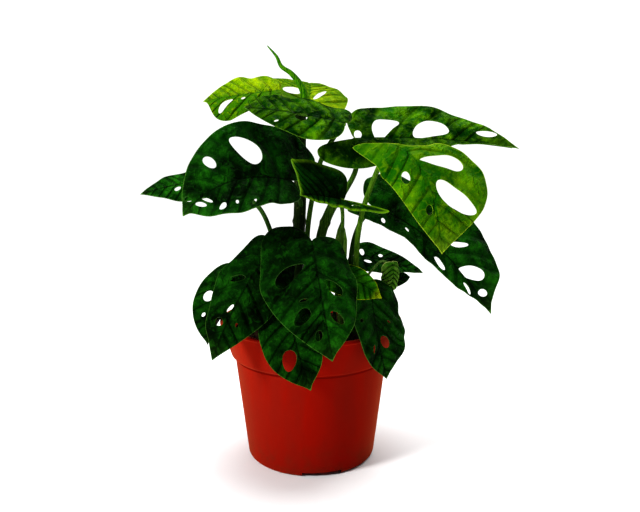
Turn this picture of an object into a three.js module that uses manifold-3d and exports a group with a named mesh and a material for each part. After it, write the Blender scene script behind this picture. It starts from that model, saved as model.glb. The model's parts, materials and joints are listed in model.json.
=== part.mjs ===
// A young monstera adansonii in its nursery pot, in millimetres, +Z up.
// The pot's axis is the Z axis, its foot stands on z = 0, and its front looks along -Y.
import * as THREE from "three";
import { mergeVertices } from "three/addons/utils/BufferGeometryUtils.js";
import Module from "manifold-3d";

const wasm = await Module();
wasm.setup();

// ---------------------------------------------------------------- driving dimensions

const GAP = 0.3; // between two pieces that meet
const ROUND_SIDES = 32; // facets round the pot and the soil

const POT_HEIGHT = 92;
const RIM_RADIUS = 60;
const FOOT_RADIUS = 42.7;
const FOOT_ROUNDING = 2.5;
const CREASE = { radius: 50.4, z: 67.4 }; // where the body ends
const SHOULDER = { radius: 53, z: 70 }; // where the flared band begins
const WALL = 1.5;
const LIP_HEIGHT = 1.6;
const STEP_LAG = 0.4; // how much higher a bend is inside the wall, in walls
const FOOT_INNER_RADIUS = 35;
const BOSS_RADIUS = 18; // the middle of the floor, which touches the ground as well
const FLOOR_RISE = 2.5; // of the ring between the boss and the foot
const FLOOR_THICKNESS = 1.5;
const GROOVE_SLOPE = 2; // across, of the ring's two sides
const DRAIN = { count: 6, radius: 3, circle: 26.5 };
const NOTCH = { angles: [-80, 40, 160], width: 25, height: 2.8 }; // in the foot ring

const SOIL_TOP = 82;
const SOIL_CROWN = 2; // how much the middle stands over the edge
const ROOT_Z = SOIL_TOP - 12; // where stems and petioles end, in their sockets in the soil

const BLADE_THICKNESS = 0.8;
const FOLD_BLEND = 3; // across, where the two halves' normals blend into one
const PETIOLE_REACH = 1.5; // of a petiole's end past the blade's base
const BLADE_COLUMNS = 2; // of quads from the midrib to the margin
const HOLE_CORNERS = 10;
const PLUG_REACH = 2; // of the cutter of a hole, out of both faces

// Each half of a blade: edge is the point of its margin where it is widest, curl is its bend
// in degrees (negative droops), and the rest are shares of the blade's length or the half's width.
// From the lobe at the base the margin swells by rise to its widest point, and from there by
// fullness to the tip.
const HALF = {
  curl: -20,
  lobe: 0.1,
  lobeAt: 0.45,
  lobeRound: 0.64,
  rise: 0.55,
  widest: 0.32,
  fullness: 0.6,
};

// A blade's midrib bends from base over middle to tip, and left and right are as seen by somebody
// who faces the blade while its tip hangs down. A hole is
// [across, along, length, width, angle, taper, sag]: shares of the half's width (negative on
// the left) and of the blade's length, millimetres, degrees from straight across towards the
// tip, how far its outer end is pinched, and how far its two ends sag towards the tip.
// A petiole's path starts inside the host, or in the soil, and ends behind the blade's base.
const BLADES = [
  {
    name: "front",
    base: [1, -36, 149],
    middle: [7, -64, 120],
    tip: [13, -77, 87],
    left: { edge: [-29, -50, 128], curl: -30, lobe: 0.2, lobeAt: 0.6, widest: 0.34, fullness: 0.4 },
    right: { edge: [27, -52, 123], curl: -30, lobe: 0.04, widest: 0.4, fullness: 0.62 },
    holes: [
      [-0.46, 0.3, 21, 9, 35, -0.3, 0.15],
      [-0.3, 0.53, 5, 1.6, 5],
      [-0.37, 0.65, 12, 7, 40, 0.2],
      [-0.15, 0.8, 6, 4, 68],
      [0.35, 0.45, 13, 6.5, 52, -0.3],
      [0.3, 0.69, 10, 5, 52],
    ],
    petiole: { radius: 1.6, host: "centre", path: [[-8, 4, 104], [-4, -12, 126]] },
  },
  {
    name: "front_left",
    base: [-22, -26, 144],
    middle: [-41, -50, 117],
    tip: [-57, -58, 81],
    left: { edge: [-57, -40, 123], curl: -30, lobe: 0.06, widest: 0.36, fullness: 0.5 },
    right: { edge: [-16, -44, 114], curl: -20, lobe: 0.04, widest: 0.38, fullness: 0.4 },
    holes: [
      [-0.37, 0.38, 10, 4, 33],
      [-0.24, 0.72, 5, 5, 56, 0.3],
      [-0.1, 0.6, 6, 2, 75],
      [0.25, 0.69, 3, 2, 60],
    ],
    petiole: { radius: 1.5, path: [[-14, -10, ROOT_Z], [-17, -12, 115], [-20, -18, 136]] },
  },
  {
    name: "left_low",
    base: [-44, 0, 121],
    middle: [-61, -12, 107],
    tip: [-66, -18, 78],
    left: {
      edge: [-71, -6, 117],
      tipDirection: [-1, 0, 0],
      lobe: 0.04,
      widest: 0.34,
      fullness: 0.55,
    },
    right: { edge: [-54, 4, 101], lobe: 0 },
    holes: [
      [-0.36, 0.46, 7, 6, 53],
      [-0.3, 0.66, 3, 2, 58],
    ],
    petiole: { radius: 1.2, path: [[-20, 9, ROOT_Z], [-28, 8, 104], [-40, 8, 115]] },
  },
  {
    name: "over_pot",
    base: [-12, -38, 109],
    middle: [-8, -61, 93],
    tip: [1, -69, 67],
    left: { edge: [-29, -57, 93], lobe: 0.05, widest: 0.4, fullness: 0.55 },
    right: { edge: [8, -64, 89], widest: 0.45, fullness: 0.7 },
    holes: [[-0.3, 0.65, 12, 8, 66, 0.2]],
    petiole: { radius: 1.4, path: [[-6, -17, ROOT_Z], [-9, -25, 99]] },
  },
  {
    name: "right_low",
    base: [37, -24, 121],
    middle: [40, -48, 95],
    tip: [46, -50, 67],
    left: { edge: [26, -57, 102], lobe: 0.07, widest: 0.42, fullness: 0.5 },
    right: { edge: [58, -28, 91], widest: 0.5, fullness: 0.85 },
    holes: [
      [0.19, 0.64, 9, 7, 60],
      [-0.3, 0.68, 5, 2, 70],
      [-0.65, 0.45, 3, 2, 36],
      [0.4, 0.42, 3, 2, 21],
    ],
    petiole: { radius: 1.4, path: [[20, -13, ROOT_Z], [27, -16, 106]] },
  },
  {
    name: "right_small",
    base: [9, -32, 131],
    middle: [28, -41, 125],
    tip: [43, -44, 115],
    left: { edge: [22, -48, 116], widest: 0.35 },
    right: { edge: [34, -37, 130], widest: 0.5, fullness: 0.5 },
    holes: [],
    petiole: { radius: 1.2, path: [[10, -15, ROOT_Z], [11, -21, 104]] },
  },
  {
    name: "right_mid",
    base: [29, 8, 132],
    middle: [50, 6, 129],
    tip: [74, 0, 122],
    left: { edge: [43, -6, 123], widest: 0.3, fullness: 0.3 },
    right: { edge: [39, 18, 139], lobe: 0.05, widest: 0.2, fullness: 0.12 },
    holes: [
      [0.3, 0.1, 6, 3, -14],
      [0.25, 0.36, 3, 3, 19],
      [-0.35, 0.2, 6, 3, 72],
    ],
    petiole: { radius: 1.2, path: [[17, 11, ROOT_Z], [23, 11, 112]] },
  },
  {
    name: "right_tiny",
    base: [50, 0, 114],
    middle: [57, -1, 118],
    tip: [66, 2, 119],
    left: { edge: [57, -5, 114] },
    right: { edge: [57, 3, 123] },
    holes: [],
    petiole: { radius: 0.9, path: [[30, 5, ROOT_Z], [38, 6, 98]] },
  },
  {
    name: "right_young",
    base: [52, -8, 131],
    middle: [53, -12, 121],
    tip: [50, -9, 111],
    left: { edge: [46, -8, 121], curl: -100, lobe: 0, widest: 0.5, fullness: 0.85 },
    right: { edge: [57, -7, 122], curl: -100, lobe: 0, widest: 0.5, fullness: 0.85 },
    holes: [],
    petiole: {
      radius: 0.9,
      path: [[36, -9, ROOT_Z], [34, -9, 108], [36, -8, 120], [41, -8, 127], [46, -7, 131]],
    },
  },
  {
    name: "left_large",
    base: [-11, -16, 183],
    middle: [-46, -38, 184],
    tip: [-74, -44, 164],
    left: { edge: [-34, -14, 219], curl: -6, lobe: 0.25, widest: 0.3, fullness: 0.38 },
    right: { edge: [-47, -60, 168], curl: 4, lobe: 0.02, widest: 0.42, fullness: 0.8 },
    holes: [
      [-0.49, 0.36, 21, 12, 38, 0.25, 0.15],
      [-0.42, 0.62, 9, 5, 16],
      [0.16, 0.83, 8, 3, -35],
      [0.18, 0.77, 8, 2, -30],
      [0.6, 0.7, 6, 4, 60],
      [0.66, 0.58, 3, 2, 30],
      [0.8, 0.45, 5, 2, 50],
      [-0.12, 0.88, 5, 2.5, 30],
    ],
    petiole: { radius: 1.6, host: "centre", path: [[-5, 3, 162], [-8, -6, 173]] },
  },
  {
    name: "left_back",
    base: [-66, 22, 182],
    middle: [-89, 16, 179],
    tip: [-113, 10, 173],
    left: { edge: [-85, 26, 187], widest: 0.25, fullness: 0.5 },
    right: { edge: [-82, 8, 168], widest: 0.35, fullness: 0.3 },
    holes: [[0.25, 0.5, 5, 3, 60]],
    petiole: {
      radius: 1.6,
      path: [[-20, -2, ROOT_Z], [-22, -4, 131], [-27, -3, 153], [-34, 3, 165], [-50, 19, 173]],
    },
  },
  {
    name: "centre",
    base: [21, -24, 172],
    middle: [4, -33, 175.5],
    tip: [-5, -50, 177],
    left: { edge: [-9, -31, 197], lobe: 0.02, lobeRound: 0.7, widest: 0.55, fullness: 1.3 },
    right: { edge: [20, -36, 168], lobe: 0.7, lobeAt: 0.5, widest: 0.1 },
    holes: [[0.5, -0.15, 6, 2.5, 80]],
    petiole: {
      radius: 1.3,
      path: [[13, -10, ROOT_Z], [18, -13, 125], [20, -14, 150], [20, -18, 163]],
    },
  },
  {
    name: "top_centre",
    base: [22, -16, 218],
    middle: [-8, -20, 224],
    tip: [-41, -14, 228],
    left: { edge: [-5, -4, 233], curl: -30, lobe: 0.08, widest: 0.45, fullness: 1.1 },
    right: {
      edge: [2, -30, 208],
      lobe: -0.02,
      lobeAt: 0.2,
      lobeRound: 0.5,
      widest: 0.3,
      fullness: 0.4,
    },
    holes: [
      [0.14, 0.43, 7.5, 6, 80],
      [0.5, 0.64, 3, 1.5, 60],
    ],
    petiole: {
      radius: 1.7,
      path: [
        [-2, -5, ROOT_Z],
        [-2, -5, 124],
        [-2, -4, 150],
        [2, 5, 176],
        [7, 6, 196],
        [15, -4, 210],
      ],
    },
  },
  {
    name: "top_left_young",
    base: [-20, 16, 240],
    middle: [-43, 10, 237],
    tip: [-70, 12, 233],
    left: { edge: [-48, 22, 248], lobe: 0.05, widest: 0.5, fullness: 0.45 },
    right: {
      edge: [-53, 0, 220],
      curl: -50,
      lobe: 0,
      lobeAt: 0.2,
      lobeRound: 0,
      rise: 0.1,
      widest: 0.66,
      fullness: 0.75,
    },
    holes: [
      [0.42, 0.7, 13, 4, 42, 0, -0.3],
      [0.24, 0.48, 3, 2, 60],
    ],
    petiole: { radius: 1.3, host: "centre", path: [[-7, 9, 213], [-11, 12, 228]] },
  },
  {
    name: "top_back_young",
    base: [-3, 22, 230],
    middle: [-1, 44, 242],
    tip: [-2, 70, 250],
    left: { edge: [25, 40, 234], lobe: 0.1, widest: 0.4, fullness: 0.7 },
    right: { edge: [-41, 48, 248], lobe: 0.1, widest: 0.75, fullness: 0.9 },
    holes: [
      [0.3, 0.36, 14, 13, 90],
      [-0.27, 0.36, 18, 3.5, 64],
    ],
    petiole: { radius: 1.3, host: "centre", path: [[-7, 10, 213], [-5, 18, 221]] },
  },
  {
    name: "top_right",
    base: [27, -6, 209],
    middle: [79, -2, 209],
    tip: [130, -10, 203],
    left: {
      edge: [23, -13, 190],
      tipDirection: [-0.2, -1, 0],
      lobe: 0.23,
      lobeAt: 0.36,
      widest: 0.05,
      fullness: 0.1,
    },
    right: { edge: [65, 14, 230], lobe: 0.02, fullness: 0.37 },
    holes: [
      [0.27, 0.2, 20, 12, 49, 0.1, 0.3],
      [0.22, 0.47, 23, 12, 78, 0, 0.25],
      [0.26, 0.8, 13, 4, 88],
      [0.1, 0.03, 6, 5, 20],
    ],
    petiole: { radius: 1.7, host: "right", path: [[20, -2, 172], [29, -1, 190]] },
  },
  {
    name: "right_bright",
    base: [45, -34, 206],
    middle: [65, -50, 189],
    tip: [75, -58, 144],
    left: {
      edge: [37, -42, 190],
      lobe: 0.27,
      lobeAt: 0.3,
      lobeRound: 0.05,
      rise: 0.1,
      widest: 0.18,
      fullness: 0.5,
    },
    right: {
      edge: [105, -41, 177],
      lobe: -0.24,
      lobeRound: 0.2,
      rise: 0.36,
      widest: 0.52,
      fullness: 0.55,
    },
    holes: [
      [0.37, 0.37, 26, 7, 27, -0.5],
      [0.38, 0.63, 29, 11, 46, 0.2, -0.2],
      [-0.5, 0.37, 9, 5, 78],
      [-0.19, 0.67, 6, 4, 80],
    ],
    petiole: {
      radius: 1.8,
      path: [
        [28, -8, ROOT_Z],
        [29, -8, 124],
        [30, -12, 148],
        [33, -16, 166],
        [38, -20, 182],
        [43, -28, 196],
      ],
    },
  },
  {
    name: "right_arching",
    base: [39, 0, 166],
    middle: [80, -4, 142],
    tip: [117, -12, 97],
    left: {
      edge: [77, -13, 131],
      curl: -25,
      lobe: 0.13,
      lobeAt: 0.8,
      lobeRound: 0.1,
      rise: 0.2,
      widest: 0.6,
      fullness: 0.5,
    },
    right: { edge: [110, 14, 151], curl: -25, lobe: 0.08, rise: 0.66, widest: 0.5, fullness: 0.85 },
    holes: [
      [0.16, 0.73, 19, 9, 48, -0.2],
      [0.1, 0.865, 7, 5, 35],
      [-0.42, 0.78, 9, 3, 76],
      [0.36, 0.56, 13, 3.5, 41],
      [-0.68, 0.55, 11, 3.5, 78],
      [-0.6, 0.1, 4, 3, 40],
      [-0.4, 0.26, 4, 2, 60],
    ],
    petiole: {
      radius: 1.6,
      path: [[26, -3, ROOT_Z], [25.4, -3.4, 122], [28, -3, 145], [33, -2, 157]],
    },
  },
];
const YELLOW_GREEN = ["right_bright", "top_left_young", "top_back_young", "right_young"];

const STEMS = [
  {
    name: "centre",
    radius: 4.3,
    path: [[-9, 6, ROOT_Z], [-9, 4, 120], [-8, 2, 146], [-7, 2, 167], [-7, 6, 195], [-7, 10, 227]],
  },
  {
    name: "right",
    radius: 3.4,
    path: [[4, 0, ROOT_Z], [5, 0, 124], [7, -2, 148], [14, -2, 166], [20, -2, 174]],
  },
];
const SHEATH = {
  at: [20, -3],
  profile: [[2.6, ROOT_Z], [2.8, 120], [4.3, 134], [4.7, 144], [3, 151]],
  point: 157,
};
const SPIKE = {
  path: [
    [-7, 10, 226],
    [-4, 12, 236],
    [-7, 14, 244],
    [-13, 14, 251],
    [-19, 14, 255],
    [-22, 15, 261],
    [-28, 16, 268],
  ],
  radius: 3.1,
  pointRadius: 0.4,
};

// ---------------------------------------------------------------- materials

function material(colour, roughness) {
  return new THREE.MeshStandardMaterial({ color: colour, roughness, metalness: 0 });
}
const POT_PLASTIC = material(0xa5200f, 0.45);
const POTTING_SOIL = material(0x3a2718, 0.95);
const DARK_LEAF = material(0x14561a, 0.4);
const YOUNG_LEAF = material(0x86b51e, 0.45);
const STALK = material(0x4c7a24, 0.5);

// ---------------------------------------------------------------- solids

const vector = (point) => new THREE.Vector3(...point);

const MERGE_DISTANCE = 1e-3;

function solidOf(geometry) {
  const bare = geometry.clone();
  for (const name of Object.keys(bare.attributes)) {
    if (name !== "position") bare.deleteAttribute(name);
  }
  const merged = mergeVertices(bare, MERGE_DISTANCE);
  return new wasm.Manifold(
    new wasm.Mesh({
      numProp: 3,
      vertProperties: merged.attributes.position.array,
      triVerts: new Uint32Array(merged.index.array),
    }),
  );
}

function geometryOf(solid) {
  const mesh = solid.getMesh();
  const geometry = new THREE.BufferGeometry();
  geometry.setAttribute("position", new THREE.BufferAttribute(mesh.vertProperties, 3));
  geometry.setIndex(new THREE.BufferAttribute(mesh.triVerts, 1));
  geometry.computeVertexNormals();
  return geometry;
}

// A round bar along a path, with its radius and both of its ends grown by extra.
function bar(path, radius, extra = 0, sides = 8) {
  const points = path.map(vector);
  const last = points.length - 1;
  const lead = points[0].clone().sub(points[1]).setLength(extra);
  const trail = points[last].clone().sub(points[last - 1]).setLength(extra);
  points[0].add(lead);
  points[last].add(trail);
  const section = new THREE.Shape(
    Array.from({ length: sides }, (_, i) => {
      const turn = (2 * Math.PI * i) / sides;
      return new THREE.Vector2(Math.cos(turn), Math.sin(turn)).multiplyScalar(radius + extra);
    }),
  );
  return new THREE.ExtrudeGeometry(section, {
    steps: 3 * last,
    bevelEnabled: false,
    extrudePath: new THREE.CatmullRomCurve3(points, false, "centripetal"),
  });
}

function turned(profile, sides) {
  const points = profile.map(([radius, z]) => new THREE.Vector2(radius, z));
  // LatheGeometry turns about Y, so the axis is stood up along Z.
  return new THREE.LatheGeometry(points, sides).rotateX(Math.PI / 2);
}

// ---------------------------------------------------------------- blades

class Blade {
  constructor(spec) {
    const [base, middle, tip] = [spec.base, spec.middle, spec.tip].map(vector);
    const control = middle.multiplyScalar(2).sub(base.clone().add(tip).multiplyScalar(0.5));
    this.rib = new THREE.QuadraticBezierCurve3(base, control, tip);
    this.length = this.rib.getLength();
    this.halves = [this.half(spec.left, -1), this.half(spec.right, 1)];
  }

  // The half's chord leaves the midrib square to it, and its width is the arc over that chord.
  half(given, sign) {
    const half = { ...HALF, ...given, sign };
    const { point, tangent } = this.ribAt(half.widest * this.length);
    const chord = vector(half.edge).sub(point);
    chord.addScaledVector(tangent, -chord.dot(tangent));
    half.bend = THREE.MathUtils.degToRad(half.curl);
    half.width = (chord.length() * half.bend) / 2 / Math.sin(half.bend / 2);
    half.direction = chord.normalize();
    half.tipDirection = half.tipDirection ? vector(half.tipDirection) : half.direction;
    return half;
  }

  // The midrib goes straight on past its two ends.
  ribAt(along) {
    const share = THREE.MathUtils.clamp(along / this.length, 0, 1);
    const tangent = this.rib.getTangentAt(share);
    const point = this.rib.getPointAt(share).addScaledVector(tangent, along - share * this.length);
    return { point, tangent, share };
  }

  // The direction across one half at a place along the midrib, and the half's normal there.
  axes(half, rib) {
    const across = half.direction.clone().lerp(half.tipDirection, rib.share);
    across.addScaledVector(rib.tangent, -across.dot(rib.tangent)).normalize();
    const normal = rib.tangent.clone().cross(across).multiplyScalar(half.sign);
    return { across, normal };
  }

  // The normal of the bent half at a distance from the midrib.
  normalAt(half, rib, distance) {
    const { across, normal } = this.axes(half, rib);
    const angle = half.bend * (distance / half.width - 0.5);
    return normal.multiplyScalar(Math.cos(angle)).addScaledVector(across, -Math.sin(angle));
  }

  // A point of the blade in millimetres across and along it, lifted off its middle surface.
  at(across, along, lift = 0) {
    const half = this.halves[across < 0 ? 0 : 1];
    const other = this.halves[across < 0 ? 1 : 0];
    const rib = this.ribAt(along);
    const distance = Math.abs(across);
    const { across: direction, normal } = this.axes(half, rib);
    const start = -half.bend / 2;
    const angle = start + (half.bend * distance) / half.width;
    const radius = half.width / half.bend;
    const out = radius * (Math.sin(angle) - Math.sin(start));
    const up = -radius * (Math.cos(angle) - Math.cos(start));
    const own = this.normalAt(half, rib, distance);
    const shared = own.clone().add(this.normalAt(other, rib, distance)).normalize();
    const blend = THREE.MathUtils.smoothstep(distance, 0, FOLD_BLEND);
    const lifted = shared.lerp(own, blend).normalize();
    rib.point.addScaledVector(direction, out).addScaledVector(normal, up);
    return rib.point.addScaledVector(lifted, lift);
  }

  // A point behind the midrib that keeps a distance to both halves.
  behind(along, distance) {
    const rib = this.ribAt(along);
    const [left, right] = this.halves.map((half) => this.normalAt(half, rib, 0));
    const shared = left.clone().add(right).normalize();
    return rib.point.addScaledVector(shared, -distance / shared.dot(left)).toArray();
  }

  // One half's margin from the notch at the base to the tip, in shares of its width and length.
  margin(half) {
    const { lobe, lobeAt, lobeRound, rise, widest, fullness } = half;
    const outline = new THREE.Path().moveTo(0, 0.01);
    outline.bezierCurveTo(0.05, -0.45 * lobe, 0.4 * lobeAt, -lobe, lobeAt, -lobe);
    const shoulder = lobeAt + lobeRound * (1 - lobeAt);
    outline.bezierCurveTo(shoulder, -lobe, 1, widest - rise * (widest + lobe), 1, widest);
    const belly = widest + (0.95 - widest) * fullness;
    outline.bezierCurveTo(1, belly, 0.3 + 0.35 * fullness, 0.8 + 0.05 * fullness, 0.13, 0.94);
    outline.bezierCurveTo(0.07, 0.965, 0.02, 0.985, 0, 1);
    return outline.curves.flatMap((curve, i) => curve.getPoints([3, 3, 4, 2][i]).slice(i ? 1 : 0));
  }
}

// The closed slab of a blade: rows of points from the midrib to the margin, which all meet
// in one point at the base and one at the tip, once for the face and once for the back.
function slab(blade) {
  const columns = BLADE_COLUMNS;
  const positions = [];
  const triangle = (a, b, c) => positions.push(...a, ...b, ...c);
  const quad = (a, b, c, d) => {
    triangle(a, b, c);
    triangle(a, c, d);
  };
  for (const half of blade.halves) {
    const margin = blade.margin(half);
    const last = margin.length - 1;
    const grid = [1, -1].map((face) =>
      margin.map((edge, row) => {
        const ribAlong = 0.01 + 0.99 * (row / last) ** 2;
        return Array.from({ length: columns + 1 }, (_, column) => {
          const share = column / columns;
          const across = half.sign * half.width * edge.x * share;
          const along = blade.length * (ribAlong + (edge.y - ribAlong) * share);
          return blade.at(across, along, (face * BLADE_THICKNESS) / 2).toArray();
        });
      }),
    );
    for (let row = 0; row < last; row++) {
      for (let column = 0; column < columns; column++) {
        grid.forEach((points, back) => {
          const corners = [
            points[row][column],
            points[row][column + 1],
            points[row + 1][column + 1],
            points[row + 1][column],
          ];
          const outward = (half.sign > 0) === (back === 0);
          quad(...(outward ? corners.reverse() : corners));
        });
      }
      const [face, back] = grid;
      const wall = [
        face[row][columns],
        face[row + 1][columns],
        back[row + 1][columns],
        back[row][columns],
      ];
      quad(...(half.sign > 0 ? wall : wall.reverse()));
    }
  }
  return closed(positions);
}

// The triangles as a geometry, without those that have shrunk to a line or a point.
function closed(positions) {
  const kept = [];
  for (let i = 0; i < positions.length; i += 9) {
    const corners = [0, 3, 6].map((k) => vector(positions.slice(i + k, i + k + 3)));
    const flat = corners.some((corner, k) => corner.distanceTo(corners[(k + 1) % 3]) < 2 * MERGE_DISTANCE);
    if (!flat) kept.push(...positions.slice(i, i + 9));
  }
  const geometry = new THREE.BufferGeometry();
  geometry.setAttribute("position", new THREE.Float32BufferAttribute(kept, 3));
  return geometry;
}

// A hole's outline in millimetres across and along the blade: a pinched and sagging ellipse.
function holeOutline(blade, [acrossShare, alongShare, length, width, angle, taper = 0, sag = 0]) {
  const half = blade.halves[acrossShare < 0 ? 0 : 1];
  const tilt = THREE.MathUtils.degToRad(angle);
  return Array.from({ length: HOLE_CORNERS }, (_, i) => {
    const turn = (2 * Math.PI * i) / HOLE_CORNERS;
    const u = (length / 2) * Math.cos(turn);
    const pinched = Math.sin(turn) * (1 - taper * Math.cos(turn));
    const v = (width / 2) * (pinched + sag * (2 * Math.cos(turn) ** 2 - 1));
    const across = acrossShare * half.width + half.sign * (u * Math.cos(tilt) - v * Math.sin(tilt));
    return [across, alongShare * blade.length + u * Math.sin(tilt) + v * Math.cos(tilt)];
  });
}

// The plug that cuts a hole, which stands out of both faces.
function plug(blade, hole) {
  const outline = holeOutline(blade, hole);
  const mean = (axis) => outline.reduce((sum, point) => sum + point[axis], 0) / outline.length;
  const middle = [mean(0), mean(1)];
  const positions = [];
  const clockwise = hole[0] < 0;
  outline.forEach((point, i) => {
    const next = outline[(i + 1) % outline.length];
    const [a, b] = clockwise ? [next, point] : [point, next];
    const [top, bottom] = [PLUG_REACH, -PLUG_REACH].map((lift) =>
      [a, b, middle].map(([across, along]) => blade.at(across, along, lift).toArray()),
    );
    positions.push(...top[0], ...top[2], ...top[1]);
    positions.push(...bottom[0], ...bottom[1], ...bottom[2]);
    positions.push(...top[0], ...top[1], ...bottom[1], ...top[0], ...bottom[1], ...bottom[0]);
  });
  return closed(positions);
}

function outwards(solid, name) {
  if (solid.volume() <= 0) throw new Error(name + " is inside out");
  return solid;
}

// ---------------------------------------------------------------- the pot and the soil

function potSolid() {
  const inner = (point) => [point.radius - WALL, point.z + STEP_LAG * WALL];
  const rounding = [0, 30, 60, 90].map((degrees) => {
    const turn = THREE.MathUtils.degToRad(degrees);
    return [
      FOOT_RADIUS - FOOT_ROUNDING * (1 - Math.sin(turn)),
      FOOT_ROUNDING * (1 - Math.cos(turn)),
    ];
  });
  const floorTop = FLOOR_RISE + FLOOR_THICKNESS;
  const profile = [
    [0, 0],
    [BOSS_RADIUS, 0],
    [BOSS_RADIUS + GROOVE_SLOPE, FLOOR_RISE],
    [FOOT_INNER_RADIUS - GROOVE_SLOPE, FLOOR_RISE],
    [FOOT_INNER_RADIUS, 0],
    ...rounding,
    [CREASE.radius, CREASE.z],
    [SHOULDER.radius, SHOULDER.z],
    [RIM_RADIUS - 1, POT_HEIGHT - LIP_HEIGHT - 1],
    [RIM_RADIUS, POT_HEIGHT - LIP_HEIGHT],
    [RIM_RADIUS, POT_HEIGHT - 0.5],
    [RIM_RADIUS - 0.5, POT_HEIGHT],
    [RIM_RADIUS - WALL - 1, POT_HEIGHT],
    inner(SHOULDER),
    inner(CREASE),
    [FOOT_RADIUS - WALL, floorTop],
    [0, floorTop],
  ];
  let solid = solidOf(turned(profile, ROUND_SIDES));
  for (let i = 0; i < DRAIN.count; i++) {
    const turn = (2 * Math.PI * i) / DRAIN.count;
    const hole = new THREE.CylinderGeometry(DRAIN.radius, DRAIN.radius, 4 * floorTop, 12);
    hole.rotateX(Math.PI / 2);
    hole.translate(DRAIN.circle * Math.cos(turn), DRAIN.circle * Math.sin(turn), 0);
    solid = solid.subtract(solidOf(hole));
  }
  for (const angle of NOTCH.angles) {
    const notch = new THREE.BoxGeometry(20, NOTCH.width, 2 * NOTCH.height);
    notch.translate(FOOT_RADIUS, 0, 0);
    notch.rotateZ(THREE.MathUtils.degToRad(angle));
    solid = solid.subtract(solidOf(notch));
  }
  return solid;
}

// The soil keeps the gap to the pot's wall and floor.
function soilSolid(roots) {
  const wallShare = (SOIL_TOP - SHOULDER.z) / (POT_HEIGHT - SHOULDER.z);
  const edge = SHOULDER.radius + (RIM_RADIUS - SHOULDER.radius) * wallShare - WALL;
  const clear = 2 * GAP;
  const profile = [
    [0, FLOOR_RISE + FLOOR_THICKNESS + GAP],
    [FOOT_RADIUS - WALL - clear, FLOOR_RISE + FLOOR_THICKNESS + GAP],
    [CREASE.radius - WALL - clear, CREASE.z + STEP_LAG * WALL],
    [SHOULDER.radius - WALL - clear, SHOULDER.z + STEP_LAG * WALL + clear],
    [edge - 2 * clear, SOIL_TOP],
    [0.6 * edge, SOIL_TOP + 0.7 * SOIL_CROWN],
    [0, SOIL_TOP + SOIL_CROWN],
  ];
  return roots.reduce((soil, root) => soil.subtract(root), solidOf(turned(profile, ROUND_SIDES)));
}

// ---------------------------------------------------------------- the plant

function sheathSolid(extra = 0) {
  const grown = SHEATH.profile.map(([radius, z]) => [radius + extra, z]);
  const bottom = SHEATH.profile[0][1] - extra;
  grown[0][1] = bottom;
  const profile = [[0, bottom], ...grown, [0, SHEATH.point + extra]];
  return solidOf(turned(profile, 10).translate(SHEATH.at[0], SHEATH.at[1], 0));
}

// A leaf that is still rolled up: a bar that narrows to a point.
function spikeSolid() {
  const geometry = bar(SPIKE.path, 1);
  const curve = new THREE.CatmullRomCurve3(SPIKE.path.map(vector), false, "centripetal");
  const steps = 60;
  const stations = curve.getSpacedPoints(steps);
  const position = geometry.attributes.position;
  for (let i = 0; i < position.count; i++) {
    const corner = new THREE.Vector3().fromBufferAttribute(position, i);
    const gaps = stations.map((station) => station.distanceTo(corner));
    const nearest = gaps.indexOf(Math.min(...gaps));
    const radius = THREE.MathUtils.lerp(SPIKE.radius, SPIKE.pointRadius, (nearest / steps) ** 1.5);
    corner.sub(stations[nearest]).multiplyScalar(radius).add(stations[nearest]);
    position.setXYZ(i, corner.x, corner.y, corner.z);
  }
  return solidOf(geometry);
}

function mesh(name, solid, surface) {
  const made = new THREE.Mesh(geometryOf(outwards(solid, name)), surface);
  made.name = name;
  return made;
}

const group = new THREE.Group();
const hosts = {};
const roots = [sheathSolid(GAP)];
for (const stem of STEMS) {
  hosts[stem.name] = solidOf(bar(stem.path, stem.radius, GAP, 10));
  roots.push(hosts[stem.name]);
  group.add(mesh("stem_" + stem.name, solidOf(bar(stem.path, stem.radius, 0, 10)), STALK));
}
group.add(mesh("sheath_centre", sheathSolid(), STALK));
group.add(mesh("leaf_rolled", spikeSolid().subtract(hosts.centre), YOUNG_LEAF));

for (const spec of BLADES) {
  const blade = new Blade(spec);
  let cut = solidOf(slab(blade));
  for (const hole of spec.holes) cut = cut.subtract(solidOf(plug(blade, hole)));
  const surface = YELLOW_GREEN.includes(spec.name) ? YOUNG_LEAF : DARK_LEAF;
  group.add(mesh("leaf_" + spec.name, cut, surface));

  const { radius, path, host } = spec.petiole;
  const end = blade.behind(PETIOLE_REACH, BLADE_THICKNESS / 2 + radius + GAP);
  let petiole = solidOf(bar([...path, end], radius));
  if (host) petiole = petiole.subtract(hosts[host]);
  else roots.push(solidOf(bar([...path, end], radius, GAP)));
  group.add(mesh("petiole_" + spec.name, petiole, STALK));
}

group.add(mesh("soil", soilSolid(roots), POTTING_SOIL));
group.add(mesh("pot", potSolid(), POT_PLASTIC));

export default group;
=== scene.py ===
import json
import math

import bpy
import numpy as np
from bpy.props import FloatProperty, FloatVectorProperty, IntProperty, PointerProperty
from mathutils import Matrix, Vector, noise
from mathutils.geometry import delaunay_2d_cdt

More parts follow.
